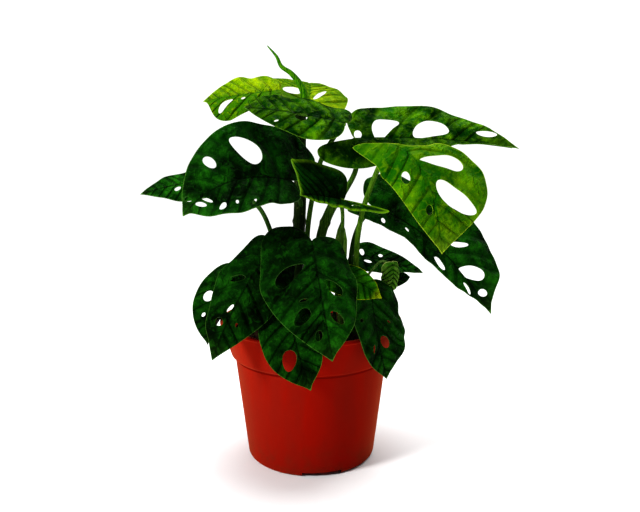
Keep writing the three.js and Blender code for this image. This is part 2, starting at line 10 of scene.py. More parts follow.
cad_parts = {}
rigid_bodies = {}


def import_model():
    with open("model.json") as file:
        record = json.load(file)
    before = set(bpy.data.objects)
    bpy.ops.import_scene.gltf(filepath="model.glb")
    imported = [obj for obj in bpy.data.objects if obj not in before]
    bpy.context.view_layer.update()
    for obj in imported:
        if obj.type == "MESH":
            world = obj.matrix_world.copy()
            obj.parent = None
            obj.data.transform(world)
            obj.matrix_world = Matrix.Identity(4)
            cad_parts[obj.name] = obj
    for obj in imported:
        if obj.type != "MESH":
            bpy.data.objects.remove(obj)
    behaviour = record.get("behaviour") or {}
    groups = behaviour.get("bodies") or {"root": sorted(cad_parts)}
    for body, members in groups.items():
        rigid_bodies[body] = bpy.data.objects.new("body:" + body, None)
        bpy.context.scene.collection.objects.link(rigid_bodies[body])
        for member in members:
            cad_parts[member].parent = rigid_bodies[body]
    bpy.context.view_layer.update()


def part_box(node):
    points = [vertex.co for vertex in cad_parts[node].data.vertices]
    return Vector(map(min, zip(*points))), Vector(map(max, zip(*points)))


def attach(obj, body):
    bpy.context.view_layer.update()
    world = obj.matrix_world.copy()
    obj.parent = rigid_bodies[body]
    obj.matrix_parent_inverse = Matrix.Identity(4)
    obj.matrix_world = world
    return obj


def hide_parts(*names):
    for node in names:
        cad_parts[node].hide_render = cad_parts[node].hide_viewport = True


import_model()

bl_info = {
    "name": "Potted monstera",
    "version": (1, 0, 0),
    "blender": (4, 5, 0),
    "location": "View3D > Sidebar > Monstera",
    "description": "A young monstera adansonii in its nursery pot, on a pale studio floor",
    "category": "Object",
}

MM = 0.001  # the tables below are in millimetres


# ------------------------------------------------------------------ the plant's measures

# Each half of a blade: edge is the point of its margin where it is widest, curl is its bend in
# degrees (negative droops), and tip_direction is the way across it at the tip, where that differs.
# The rest are shares of the blade's length or of the half's width. The lobe at the base hangs back
# by lobe, its end lies at lobe_at and its corner reaches out by lobe_round. From there the margin
# swells by rise to its widest point, and from there by fullness to the tip.
HALF = {"curl": -20, "lobe": 0.1, "lobe_at": 0.45, "lobe_round": 0.64, "rise": 0.55,
        "widest": 0.32, "fullness": 0.6}
FOLD_BLEND = 3.0  # across, where the two halves' normals blend into one
PETIOLE_REACH = 1.5  # of a petiole's end past the blade's base
BLADE_GAP = 0.7  # between a blade's middle surface and the petiole behind it

# A blade's midrib bends from base over middle to tip, and left and right are as seen by somebody
# who faces the blade while its tip hangs down. A hole is (across, along, length, width, angle,
# taper, sag): shares of the half's width (negative on the left) and of the blade's length,
# millimetres, degrees from straight across towards the tip, how far its outer end is pinched, and
# how far both its ends bend towards the tip. A blade's painted light and tone says how light the
# left and the right half are, each at its base and at its tip: painted light and painted shade
# where a half lies lit or in shade, which also sets how many pale patches it shows. A petiole is
# its radius and its path up to the blade.
BLADES = {
    "front": {
        "age": "old", "painted_light_and_tone": ((0.5, 1.2), (0.6, 1.9)),
        "base": (1, -36, 149), "middle": (7, -64, 120), "tip": (13, -77, 87),
        "left": {"edge": (-29, -50, 128), "curl": -30, "lobe": 0.2, "lobe_at": 0.6,
                 "widest": 0.34, "fullness": 0.4},
        "right": {"edge": (27, -52, 123), "curl": -30, "lobe": 0.04, "widest": 0.4,
                  "fullness": 0.62},
        "holes": [(-0.46, 0.3, 21, 9, 35, -0.3, 0.15), (-0.3, 0.53, 5, 1.6, 5),
                  (-0.37, 0.65, 12, 7, 40, 0.2), (-0.15, 0.8, 6, 4, 68),
                  (0.35, 0.45, 13, 6.5, 52, -0.3), (0.3, 0.69, 10, 5, 52)],
        "petiole": (1.6, [(-8, 4, 104), (-4, -12, 126)]),
    },
    "front_left": {
        "age": "old", "painted_light_and_tone": ((0.6, 1.0), (0.5, 0.8)),
        "base": (-22, -26, 144), "middle": (-41, -50, 117), "tip": (-57, -58, 81),
        "left": {"edge": (-57, -40, 123), "curl": -30, "lobe": 0.06, "widest": 0.36,
                 "fullness": 0.5},
        "right": {"edge": (-16, -44, 114), "lobe": 0.04, "widest": 0.38, "fullness": 0.4},
        "holes": [(-0.37, 0.38, 10, 4, 33), (-0.24, 0.72, 5, 5, 56, 0.3), (-0.1, 0.6, 6, 2, 75),
                  (0.25, 0.69, 3, 2, 60)],
        "petiole": (1.5, [(-14, -10, 70), (-17, -12, 115), (-20, -18, 136)]),
    },
    "left_low": {
        "age": "old",
        "base": (-44, 0, 121), "middle": (-61, -12, 107), "tip": (-66, -18, 78),
        "left": {"edge": (-71, -6, 117), "tip_direction": (-1, 0, 0), "lobe": 0.04, "widest": 0.34,
                 "fullness": 0.55},
        "right": {"edge": (-54, 4, 101), "lobe": 0},
        "holes": [(-0.36, 0.46, 7, 6, 53), (-0.3, 0.66, 3, 2, 58)],
        "petiole": (1.2, [(-20, 9, 70), (-28, 8, 104), (-40, 8, 115)]),
    },
    "over_pot": {
        "age": "old", "painted_light_and_tone": ((0.5, 1.0), (1.0, 1.5)),
        "base": (-12, -38, 109), "middle": (-8, -61, 93), "tip": (1, -69, 67),
        "left": {"edge": (-29, -57, 93), "lobe": 0.05, "widest": 0.4, "fullness": 0.55},
        "right": {"edge": (8, -64, 89), "widest": 0.45, "fullness": 0.7},
        "holes": [(-0.3, 0.65, 12, 8, 66, 0.2)],
        "petiole": (1.4, [(-6, -17, 70), (-9, -25, 99)]),
    },
    "right_low": {
        "age": "old", "painted_light_and_tone": ((1.3, 1.3), (1.2, 1.5)),
        "base": (37, -24, 121), "middle": (40, -48, 95), "tip": (46, -50, 67),
        "left": {"edge": (26, -57, 102), "lobe": 0.07, "widest": 0.42, "fullness": 0.5},
        "right": {"edge": (58, -28, 91), "widest": 0.5, "fullness": 0.85},
        "holes": [(0.19, 0.64, 9, 7, 60), (-0.3, 0.68, 5, 2, 70), (-0.65, 0.45, 3, 2, 36),
                  (0.4, 0.42, 3, 2, 21)],
        "petiole": (1.4, [(20, -13, 70), (27, -16, 106)]),
    },
    "right_small": {
        "age": "fresh",
        "base": (9, -32, 131), "middle": (28, -41, 125), "tip": (43, -44, 115),
        "left": {"edge": (22, -48, 116), "widest": 0.35},
        "right": {"edge": (34, -37, 130), "widest": 0.5, "fullness": 0.5},
        "holes": [],
        "petiole": (1.2, [(10, -15, 70), (11, -21, 104)]),
    },
    "right_mid": {
        "age": "old", "painted_light_and_tone": ((2.4, 2.8), (1.6, 2.6)),
        "base": (29, 8, 132), "middle": (50, 6, 129), "tip": (74, 0, 122),
        "left": {"edge": (43, -6, 123), "widest": 0.3, "fullness": 0.3},
        "right": {"edge": (39, 18, 139), "lobe": 0.05, "widest": 0.2, "fullness": 0.12},
        "holes": [(0.3, 0.1, 6, 3, -14), (0.25, 0.36, 3, 3, 19), (-0.35, 0.2, 6, 3, 72)],
        "petiole": (1.2, [(17, 11, 70), (23, 11, 112)]),
    },
    "right_tiny": {
        "age": "old",
        "base": (50, 0, 114), "middle": (57, -1, 118), "tip": (66, 2, 119),
        "left": {"edge": (57, -5, 114)},
        "right": {"edge": (57, 3, 123)},
        "holes": [],
        "petiole": (0.9, [(30, 5, 70), (38, 6, 98)]),
    },
    "right_young": {
        "age": "bud",
        "base": (52, -8, 131), "middle": (53, -12, 121), "tip": (50, -9, 111),
        "left": {"edge": (46, -8, 121), "curl": -100, "lobe": 0, "widest": 0.5, "fullness": 0.85},
        "right": {"edge": (57, -7, 122), "curl": -100, "lobe": 0, "widest": 0.5, "fullness": 0.85},
        "holes": [],
        "petiole": (0.9, [(36, -9, 70), (34, -9, 108), (36, -8, 120), (41, -8, 127),
                          (46, -7, 131)]),
    },
    "left_large": {
        "age": "old", "painted_light_and_tone": ((1.3, 2.0), (0.7, 1.6)),
        "base": (-11, -16, 183), "middle": (-46, -38, 184), "tip": (-74, -44, 164),
        "left": {"edge": (-34, -14, 219), "curl": -6, "lobe": 0.25, "widest": 0.3,
                 "fullness": 0.38},
        "right": {"edge": (-47, -60, 168), "curl": 4, "lobe": 0.02, "widest": 0.42,
                  "fullness": 0.8},
        "holes": [(-0.49, 0.36, 21, 12, 38, 0.25, 0.15), (-0.42, 0.62, 9, 5, 16),
                  (0.16, 0.83, 8, 3, -35), (0.18, 0.77, 8, 2, -30), (0.6, 0.7, 6, 4, 60),
                  (0.66, 0.58, 3, 2, 30), (0.8, 0.45, 5, 2, 50), (-0.12, 0.88, 5, 2.5, 30)],
        "petiole": (1.6, [(-5, 3, 162), (-8, -6, 173)]),
    },
    "left_back": {
        "age": "old", "painted_light_and_tone": ((2.2, 2.6), (1.8, 2.4)),
        "base": (-66, 22, 182), "middle": (-89, 16, 179), "tip": (-113, 10, 173),
        "left": {"edge": (-85, 26, 187), "widest": 0.25, "fullness": 0.5},
        "right": {"edge": (-82, 8, 168), "widest": 0.35, "fullness": 0.3},
        "holes": [(0.25, 0.5, 5, 3, 60)],
        "petiole": (1.6, [(-20, -2, 70), (-22, -4, 131), (-27, -3, 153), (-34, 3, 165),
                          (-50, 19, 173)]),
    },
    "centre": {
        "age": "rolled", "painted_light_and_tone": ((0.0, 1.4), (1.0, 1.0)),
        "base": (21, -24, 172), "middle": (4, -33, 175.5), "tip": (-5, -50, 177),
        "left": {"edge": (-9, -31, 197), "lobe": 0.02, "lobe_round": 0.7, "widest": 0.55,
                 "fullness": 1.3},
        "right": {"edge": (20, -36, 168), "lobe": 0.7, "lobe_at": 0.5, "widest": 0.1},
        "holes": [(0.5, -0.15, 6, 2.5, 80)],
        "petiole": (1.3, [(13, -10, 70), (18, -13, 125), (20, -14, 150), (20, -18, 163)]),
    },
    "top_centre": {
        "age": "turning", "painted_light_and_tone": ((0.9, 0.5), (1.0, 0.05)),
        "base": (22, -16, 218), "middle": (-8, -20, 224), "tip": (-41, -14, 228),
        "left": {"edge": (-5, -4, 233), "curl": -30, "lobe": 0.08, "widest": 0.45, "fullness": 1.1},
        "right": {"edge": (2, -30, 208), "lobe": -0.02, "lobe_at": 0.2, "lobe_round": 0.5,
                  "widest": 0.3, "fullness": 0.4},
        "holes": [(0.14, 0.43, 7.5, 6, 80), (0.5, 0.64, 3, 1.5, 60)],
        "petiole": (1.7, [(-2, -5, 70), (-2, -5, 124), (-2, -4, 150), (2, 5, 176), (7, 6, 196),
                          (15, -4, 210)]),
    },
    "top_left_young": {
        "age": "newest", "painted_light_and_tone": ((1.0, 0.9), (0.1, 0.0)),
        "base": (-20, 16, 240), "middle": (-43, 10, 237), "tip": (-70, 12, 233),
        "left": {"edge": (-48, 22, 248), "lobe": 0.05, "widest": 0.5, "fullness": 0.45},
        "right": {"edge": (-53, 0, 220), "curl": -50, "lobe": 0, "lobe_at": 0.2, "lobe_round": 0,
                  "rise": 0.1, "widest": 0.66, "fullness": 0.75},
        "holes": [(0.42, 0.7, 13, 4, 42, 0, -0.3), (0.24, 0.48, 3, 2, 60)],
        "petiole": (1.3, [(-7, 9, 213), (-11, 12, 228)]),
    },
    "top_back_young": {
        "age": "newest", "painted_light_and_tone": ((1.0, 1.0), (0.5, 0.4)),
        "base": (-3, 22, 230), "middle": (-1, 44, 242), "tip": (-2, 70, 250),
        "left": {"edge": (25, 40, 234), "lobe": 0.1, "widest": 0.4, "fullness": 0.7},
        "right": {"edge": (-41, 48, 248), "lobe": 0.1, "widest": 0.75, "fullness": 0.9},
        "holes": [(0.3, 0.36, 14, 13, 90), (-0.27, 0.36, 18, 3.5, 64)],
        "petiole": (1.3, [(-7, 10, 213), (-5, 18, 221)]),
    },
    "top_right": {
        "age": "turning", "painted_light_and_tone": ((0.4, 0.3), (1.2, 1.2)),
        "base": (27, -6, 209), "middle": (79, -2, 209), "tip": (130, -10, 203),
        "left": {"edge": (23, -13, 190), "tip_direction": (-0.2, -1, 0), "lobe": 0.23,
                 "lobe_at": 0.36, "widest": 0.05, "fullness": 0.1},
        "right": {"edge": (65, 14, 230), "lobe": 0.02, "fullness": 0.37},
        "holes": [(0.27, 0.2, 20, 12, 49, 0.1, 0.3), (0.22, 0.47, 23, 12, 78, 0, 0.25),
                  (0.26, 0.8, 13, 4, 88), (0.1, 0.03, 6, 5, 20)],
        "petiole": (1.7, [(20, -2, 172), (29, -1, 190)]),
    },
    "right_bright": {
        "age": "young", "painted_light_and_tone": ((0.45, 0.9), (0.9, 1.0)),
        "base": (45, -34, 206), "middle": (65, -50, 189), "tip": (75, -58, 144),
        "left": {"edge": (37, -42, 190), "lobe": 0.27, "lobe_at": 0.3, "lobe_round": 0.05,
                 "rise": 0.1, "widest": 0.18, "fullness": 0.5},
        "right": {"edge": (105, -41, 177), "lobe": -0.24, "lobe_round": 0.2, "rise": 0.36,
                  "widest": 0.52, "fullness": 0.55},
        "holes": [(0.37, 0.37, 26, 7, 27, -0.5), (0.38, 0.63, 29, 11, 46, 0.2, -0.2),
                  (-0.5, 0.37, 9, 5, 78), (-0.19, 0.67, 6, 4, 80)],
        "petiole": (1.8, [(28, -8, 70), (29, -8, 124), (30, -12, 148), (33, -16, 166),
                          (38, -20, 182), (43, -28, 196)]),
    },
    "right_arching": {
        "age": "old", "painted_light_and_tone": ((1.0, 1.4), (1.6, 1.8)),
        "base": (39, 0, 166), "middle": (80, -4, 142), "tip": (117, -12, 97),
        "left": {"edge": (77, -13, 131), "curl": -25, "lobe": 0.13, "lobe_at": 0.8,
                 "lobe_round": 0.1, "rise": 0.2, "widest": 0.6, "fullness": 0.5},
        "right": {"edge": (110, 14, 151), "curl": -25, "lobe": 0.08, "rise": 0.66, "widest": 0.5,
                  "fullness": 0.85},
        "holes": [(0.16, 0.73, 19, 9, 48, -0.2), (0.1, 0.865, 7, 5, 35), (-0.42, 0.78, 9, 3, 76),
                  (0.36, 0.56, 13, 3.5, 41), (-0.68, 0.55, 11, 3.5, 78), (-0.6, 0.1, 4, 3, 40),
                  (-0.4, 0.26, 4, 2, 60)],
        "petiole": (1.6, [(26, -3, 70), (25.4, -3.4, 122), (28, -3, 145), (33, -2, 157)]),
    },
}

# each stem's radius and path
STEMS = {
    "centre": (4.3, [(-9, 6, 70), (-9, 4, 120), (-8, 2, 146), (-7, 2, 167), (-7, 6, 195),
                     (-7, 10, 227)]),
    "right": (3.4, [(4, 0, 70), (5, 0, 124), (7, -2, 148), (14, -2, 166), (20, -2, 174)]),
}
STEM_NODES = 21.0  # along a stem, from one swollen node to the next
NODE_REACH = 1.6  # of a node's swelling along the stem
SHEATH_AT = (20, -3)
SHEATH_STATIONS = [(2.6, 70), (2.8, 120), (4.3, 134), (4.7, 144), (3.0, 151), (0.3, 157)]
SHEATH_TWIST = 400  # along a rolled piece, while its outer edge winds round it once
ROLLED_PATH = [(-7, 10, 226), (-4, 12, 236), (-7, 14, 244), (-13, 14, 251), (-19, 14, 255),
               (-22, 15, 261), (-28, 16, 268)]
ROLLED_RADIUS = 3.1
ROLLED_POINT_RADIUS = 0.4
ROLLED_TWIST = 90


# ------------------------------------------------------------------ settings

class PotSettings(bpy.types.PropertyGroup):
    rim_radius: FloatProperty(name="Rim radius", description="Outer radius of the lip",
                              default=60 * MM, unit="LENGTH")
    height: FloatProperty(name="Height", description="From the foot to the top of the lip",
                          default=92 * MM, unit="LENGTH")
    foot_radius: FloatProperty(name="Foot radius", description="Outer radius at the ground",
                               default=42.7 * MM, unit="LENGTH")
    wall: FloatProperty(name="Wall", description="Thickness of the plastic", default=1.5 * MM,
                        unit="LENGTH")
    sides: IntProperty(name="Sides", description="Facets round the pot", default=96, min=24)
    colour: FloatVectorProperty(name="Plastic", description="Colour of the pot", subtype="COLOR",
                                default=(0.215, 0.0072, 0.0032), min=0, max=1)


class SoilSettings(bpy.types.PropertyGroup):
    top: FloatProperty(name="Soil top", description="Height of the soil at the pot's wall",
                       default=82 * MM, unit="LENGTH")
    crown: FloatProperty(name="Crown", description="How much its middle stands higher",
                         default=2 * MM, unit="LENGTH")
    crumbs: IntProperty(name="Crumbs", description="Loose lumps on the soil", default=520, min=0)


class LeafSettings(bpy.types.PropertyGroup):
    thickness: FloatProperty(name="Blade thickness", description="Of one leaf", default=0.4 * MM,
                             unit="LENGTH")
    spacing: FloatProperty(name="Mesh spacing", description="Between two points of a blade",
                           default=1.35 * MM, unit="LENGTH")
    quilting: FloatProperty(name="Quilting", description="How far a blade rises between two veins",
                            default=0.95 * MM, unit="LENGTH")
    ripple: FloatProperty(name="Ripple", description="How far a blade waves all over",
                          default=0.35 * MM, unit="LENGTH")
    wave: FloatProperty(name="Wave", description="How far a blade's margin waves up and down",
                        default=1.1 * MM, unit="LENGTH")


class StageSettings(bpy.types.PropertyGroup):
    floor: FloatVectorProperty(name="Floor", description="Colour of the floor", subtype="COLOR",
                               default=(0.9, 0.9, 0.9), min=0, max=1)
    camera: FloatVectorProperty(name="Camera", description="Where the camera stands",
                                subtype="TRANSLATION", default=(0.006, -0.42, 0.205))
    tilt: FloatProperty(name="Tilt", description="How far the camera looks down",
                        default=math.radians(9.7), subtype="ANGLE")
    lens: FloatProperty(name="Lens", description="Focal length in millimetres on a 36 mm sensor",
                        default=36.56)


# ------------------------------------------------------------------ meshes

def activate(piece):
    bpy.ops.object.select_all(action="DESELECT")
    piece.select_set(True)
    bpy.context.view_layer.objects.active = piece
    return piece


def apply_modifier(piece, kind, **settings):
    """Adds one modifier with these settings and applies it."""
    activate(piece)
    modifier = piece.modifiers.new(kind.title(), kind)
    for key, value in settings.items():
        setattr(modifier, key, value)
    bpy.ops.object.modifier_apply(modifier=modifier.name)


def new_object(name, data):
    """An object in the scene from a mesh, a curve, a light or a camera."""
    made = bpy.data.objects.new(name, data)
    bpy.context.scene.collection.objects.link(made)
    return made


def mesh_piece(name, points, faces):
    """A new object from points in millimetres."""
    mesh = bpy.data.meshes.new(name)
    mesh.from_pydata((np.asarray(points, float) * MM).tolist(), [], [tuple(face) for face in faces])
    mesh.validate()
    return new_object(name, mesh)


def joined(name, pieces):
    """Several objects as one."""
    activate(pieces[0])
    for piece in pieces:
        piece.select_set(True)
    bpy.ops.object.join()
    pieces[0].name = name
    pieces[0].data.name = name
    return pieces[0]


def smooth(piece, degrees):
    """Shades the piece smooth where its faces meet at less than this angle."""
    activate(piece)
    bpy.ops.object.shade_smooth_by_angle(angle=math.radians(degrees))


def close_shell():
    """Closes the shell in edit mode, turns its faces outwards and goes back to object mode."""
    bpy.ops.mesh.edge_face_add()
    bpy.ops.mesh.select_all(action="SELECT")
    bpy.ops.mesh.normals_make_consistent(inside=False)
    bpy.ops.object.mode_set(mode="OBJECT")


def stand_for(piece, node):
    """The piece takes the place of a CAD node."""
    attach(piece, "root")
    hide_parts(node)


def unit(vectors):
    return vectors / np.linalg.norm(vectors, axis=-1, keepdims=True)


def smooth_step(values, low, high):
    share = np.clip((values - low) / (high - low), 0, 1)
    return share * share * (3 - 2 * share)


def smooth_path(points, step=1.5):
    """A centripetal Catmull-Rom curve through the points, with a point at about every step."""
    points = np.array(points, float)
    ends = [2 * points[0] - points[1], 2 * points[-1] - points[-2]]
    points = np.vstack([ends[:1], points, ends[1:]])
    path = []
    for p0, p1, p2, p3 in zip(points, points[1:], points[2:], points[3:]):
        spans = ((p0, p1), (p1, p2), (p2, p3))
        knots = np.cumsum([0] + [np.linalg.norm(b - a) ** 0.5 for a, b in spans])
        count = max(2, round(np.linalg.norm(p2 - p1) / step))
        for t in np.linspace(knots[1], knots[2], count, endpoint=False):
            def between(a, b, low, high):
                return (a * (knots[high] - t) + b * (t - knots[low])) / (knots[high] - knots[low])
            a1, a2, a3 = between(p0, p1, 0, 1), between(p1, p2, 1, 2), between(p2, p3, 2, 3)
            b1, b2 = between(a1, a2, 0, 2), between(a2, a3, 1, 3)
            path.append(between(b1, b2, 1, 2))
    return np.array(path + [points[-2]])


def run_of(path):
    """The distance along a path at each of its points."""
    return np.concatenate([[0], np.cumsum(np.linalg.norm(np.diff(path, axis=0), axis=1))])


def tube(name, path, radii, rounding=4):
    """A round bar with its own radius at each point of the path, all in millimetres."""
    curve = bpy.data.curves.new(name, "CURVE")
    curve.dimensions = "3D"
    curve.bevel_depth = MM
    curve.bevel_resolution = rounding
    curve.use_fill_caps = True
    spline = curve.splines.new("POLY")
    spline.points.add(len(path) - 1)
    for point, place, radius in zip(spline.points, path, radii):
        point.co = (*(place * MM), 1)
        point.radius = radius
    piece = activate(new_object(name, curve))
    bpy.ops.object.convert(target="MESH")
    smooth(piece, degrees=50)
    return piece


# ------------------------------------------------------------------ blades

class Blade:
    """A blade's middle surface, from millimetres across and along it to its place."""

    STATIONS = 200  # along the midrib, to measure its length
    CURVE_STEPS = 24  # in each of the four curves of a margin
    NOTCH = (0, 0.01)  # of a margin: where the petiole meets it
    NECK = (0.13, 0.94)  # of a margin: where its drawn-out tip begins
    SHOULDER = 0.95  # along the blade, as far as the fullest margin bulges
    VEIN_SLOPE = 0.85  # of a side vein: along the blade for each millimetre across it
    VEIN_FAN = (1.15, 0.16)  # how much less that is at the base, and over what share of the midrib
    VEIN_BEND = 0.5  # further along, where it is as far across as the blade is long
    VEIN_SEARCH = (-0.6, 1.6)
    VEIN_HALVINGS = 24
    HOLE_POINTS = 48

    def __init__(self, spec):
        base, middle, tip = (np.array(spec[key], float) for key in ("base", "middle", "tip"))
        control = 2 * middle - (base + tip) / 2
        self.ends = base, control, tip
        self.turns = np.linspace(0, 1, self.STATIONS + 1)
        self.run = run_of(self.bezier(self.turns))
        self.length = self.run[-1]
        self.halves = [self.half(spec["left"], -1), self.half(spec["right"], 1)]

    def bezier(self, t):
        base, control, tip = self.ends
        t = np.asarray(t)[..., None]
        return (1 - t) ** 2 * base + 2 * t * (1 - t) * control + t * t * tip

    def rib_at(self, along):
        """The midrib, which goes straight on past its two ends."""
        base, control, tip = self.ends
        reach = np.clip(along, 0, self.length)
        t = np.interp(reach, self.run, self.turns)
        tangent = unit((1 - t)[..., None] * (control - base) + t[..., None] * (tip - control))
        return self.bezier(t) + tangent * (along - reach)[..., None], tangent, reach / self.length

    def half(self, given, sign):
        """The half's chord leaves the midrib square to it, and its width is the arc over it."""
        half = {**HALF, **given, "sign": sign}
        point, tangent, _ = self.rib_at(np.array(half["widest"] * self.length))
        chord = np.array(half["edge"], float) - point
        chord -= chord.dot(tangent) * tangent
        reach = np.linalg.norm(chord)
        half["bend"] = math.radians(half["curl"])
        half["width"] = reach * half["bend"] / 2 / math.sin(half["bend"] / 2)
        half["direction"] = chord / reach
        half["tip_direction"] = np.array(half.get("tip_direction", half["direction"]), float)
        return half

    def normal_at(self, half, along, distance):
        """The direction across a half, its flat normal and the normal of its bent surface."""
        _, tangent, share = self.rib_at(along)
        across = half["direction"] + (half["tip_direction"] - half["direction"]) * share[..., None]
        across -= (across * tangent).sum(-1, keepdims=True) * tangent
        across = unit(across)
        flat = np.cross(tangent, across) * half["sign"]
        angle = (half["bend"] * (distance / half["width"] - 0.5))[..., None]
        return across, flat, flat * np.cos(angle) - across * np.sin(angle)

    def at(self, across, along, lift=0.0):
        """The place of points across and along the blade, lifted off its middle surface."""
        across, along = np.asarray(across, float), np.asarray(along, float)
        lift = np.broadcast_to(lift, across.shape)
        places = np.zeros((*across.shape, 3))
        for half, other in (self.halves, self.halves[::-1]):
            own = (across < 0) == (half["sign"] < 0)
            y, d = along[own], np.abs(across[own])
            direction, flat, normal = self.normal_at(half, y, d)
            shared = unit(normal + self.normal_at(other, y, d)[2])
            blend = smooth_step(d, 0, FOLD_BLEND)[:, None]
            lifted = unit(shared + (normal - shared) * blend)
            start = -half["bend"] / 2
            angle = start + half["bend"] * d / half["width"]
            radius = half["width"] / half["bend"]
            out = radius * (np.sin(angle) - math.sin(start))
            up = -radius * (np.cos(angle) - math.cos(start))
            rib = self.rib_at(y)[0]
            places[own] = (rib + direction * out[:, None] + flat * up[:, None]
                           + lifted * lift[own][:, None])
        return places

    def behind(self, along, distance):
        """A point behind the midrib that keeps a distance to both halves."""
        along = np.array(along, float)
        left, right = (self.normal_at(half, along, np.zeros_like(along))[2] for half in self.halves)
        shared = unit(left + right)
        fold = (shared * left).sum(-1, keepdims=True)
        return self.rib_at(along)[0] - shared * np.asarray(distance)[..., None] / fold

    def margin(self, half):
        """One half's margin from the notch at the base to the tip, in millimetres."""
        lobe, lobe_at, widest = half["lobe"], half["lobe_at"], half["widest"]
        fullness = half["fullness"]
        lobe_end = (lobe_at, -lobe)
        corner = lobe_at + half["lobe_round"] * (1 - lobe_at)
        flank = widest - half["rise"] * (widest + lobe)
        belly = widest + (self.SHOULDER - widest) * fullness
        shoulder = (0.3 + 0.35 * fullness, 0.8 + 0.05 * fullness)
        curves = [
            [self.NOTCH, (0.05, -0.45 * lobe), (0.4 * lobe_at, -lobe), lobe_end],
            [lobe_end, (corner, -lobe), (1, flank), (1, widest)],
            [(1, widest), (1, belly), shoulder, self.NECK],
            [self.NECK, (0.07, 0.965), (0.02, 0.985), (0, 1)],
        ]
        points = [bezier_points(curve, self.CURVE_STEPS) for curve in curves]
        outline = np.vstack([part[:-1] for part in points] + [points[-1][-1:]])
        return outline * (half["sign"] * half["width"], self.length)

    def outline(self):
        left, right = (self.margin(half) for half in self.halves)
        return np.vstack([right[:-1], left[::-1][:-1]])

    def hole(self, across, along, length, width, angle, taper=0.0, sag=0.0):
        """A hole's outline: an ellipse with one end pinched, whose two ends may bend to the tip."""
        half = self.halves[0 if across < 0 else 1]
        tilt = math.radians(angle)
        turn = np.linspace(0, 2 * math.pi, self.HOLE_POINTS, endpoint=False)
        u = length / 2 * np.cos(turn)
        pinched = np.sin(turn) * (1 - taper * np.cos(turn))
        v = width / 2 * (pinched + sag * (2 * np.cos(turn) ** 2 - 1))
        x = across * half["width"] + half["sign"] * (u * math.cos(tilt) - v * math.sin(tilt))
        return np.column_stack([x, along * self.length + u * math.sin(tilt) + v * math.cos(tilt)])

    def vein_share(self, across, along):
        """Where along the midrib the side vein through each point begins, as a share of its length.
        The veins spread back into the lobes and bend forward towards the tip."""
        low, high = (np.full(across.shape, end) for end in self.VEIN_SEARCH)
        fan, fan_reach = self.VEIN_FAN
        bend = self.VEIN_BEND * across ** 2 / self.length
        for _ in range(self.VEIN_HALVINGS):
            middle = (low + high) / 2
            slope = self.VEIN_SLOPE - fan * np.exp(-np.clip(middle, 0, None) / fan_reach)
            reached = middle * self.length + np.abs(across) * slope + bend
            low = np.where(reached < along, middle, low)
            high = np.where(reached < along, high, middle)
        return (low + high) / 2


def bezier_points(corners, count):
    t = np.linspace(0, 1, count + 1)[:, None]
    a, b, c, d = np.array(corners, float)
    return (1 - t) ** 3 * a + 3 * t * (1 - t) ** 2 * b + 3 * t * t * (1 - t) * c + t ** 3 * d


FEWEST_POINTS = 12  # round a hole


def evenly(loop, step):
    """A closed loop with its points an even step apart."""
    closed = np.vstack([loop, loop[:1]])
    run = run_of(closed)
    count = max(FEWEST_POINTS, round(run[-1] / step))
    places = np.linspace(0, run[-1], count, endpoint=False)
    return np.column_stack([np.interp(places, run, closed[:, axis]) for axis in (0, 1)])


def inside(points, loop):
    """Which points lie inside a closed loop, by counting the edges that each looks across."""
    crossed = np.zeros(len(points), bool)
    x, y = points[:, 0], points[:, 1]
    for (ax, ay), (bx, by) in zip(loop, np.roll(loop, -1, axis=0)):
        if ay != by:
            spans = (ay > y) != (by > y)
            crossed ^= spans & (x < (bx - ax) * (y - ay) / (by - ay) + ax)
    return crossed


def on_blade(points, loops):
    """Which points lie inside the first loop and outside the others."""
    kept = inside(points, loops[0])
    for loop in loops[1:]:
        kept &= ~inside(points, loop)
    return kept


def distance_to(points, loops):
    """Each point's distance to the nearest of the loops' edges."""
    nearest = np.full(len(points), np.inf)
    for loop in loops:
        for a, b in zip(loop, np.roll(loop, -1, axis=0)):
            edge = b - a
            share = np.clip(((points - a) @ edge) / max(edge @ edge, 1e-9), 0, 1)
            gap = np.linalg.norm(points - a - share[:, None] * edge, axis=1)
            nearest = np.minimum(nearest, gap)
    return nearest


# A blade's mesh, in steps of its spacing: its points on the margin and round a hole, and how far
# its grid keeps from them and from the midrib's own row of points.
MARGIN_STEP = 0.8
HOLE_STEP = 0.6
EDGE_CLEARANCE = 0.55
RIB_CLEARANCE = 0.6
MERGE_DISTANCE = 1e-5  # millimetres


def flat_blade(loops, step):
    """A fine flat mesh inside the first loop and outside the others. A blade has holes of any
    outline, which no grid follows, so its points are joined by a constrained triangulation."""
    outer = loops[0]
    low, high = outer.min(0), outer.max(0)
    rows = np.arange(low[1], high[1], step * math.sqrt(3) / 2)
    columns = np.arange(low[0] - step, high[0] + step, step)
    grid = np.array([(x + (i % 2) * step / 2, y) for i, y in enumerate(rows) for x in columns])
    grid = grid[np.abs(grid[:, 0]) > RIB_CLEARANCE * step]
    rib = np.column_stack([np.zeros(len(rows)), rows])
    grid = np.vstack([grid, rib])
    grid = grid[on_blade(grid, loops)]
    grid = grid[distance_to(grid, loops) > EDGE_CLEARANCE * step]
    corners = [Vector(point) for loop in (*loops, grid) for point in loop]
    edges, start = [], 0
    for loop in loops:
        count = len(loop)
        edges += [(start + i, start + (i + 1) % count) for i in range(count)]
        start += count
    points, _, faces, *_ = delaunay_2d_cdt(corners, edges, [], 0, MERGE_DISTANCE)
    points, faces = np.array(points), np.array(faces)
    kept = on_blade(points[faces].mean(1), loops)
    return points, faces[kept].tolist()


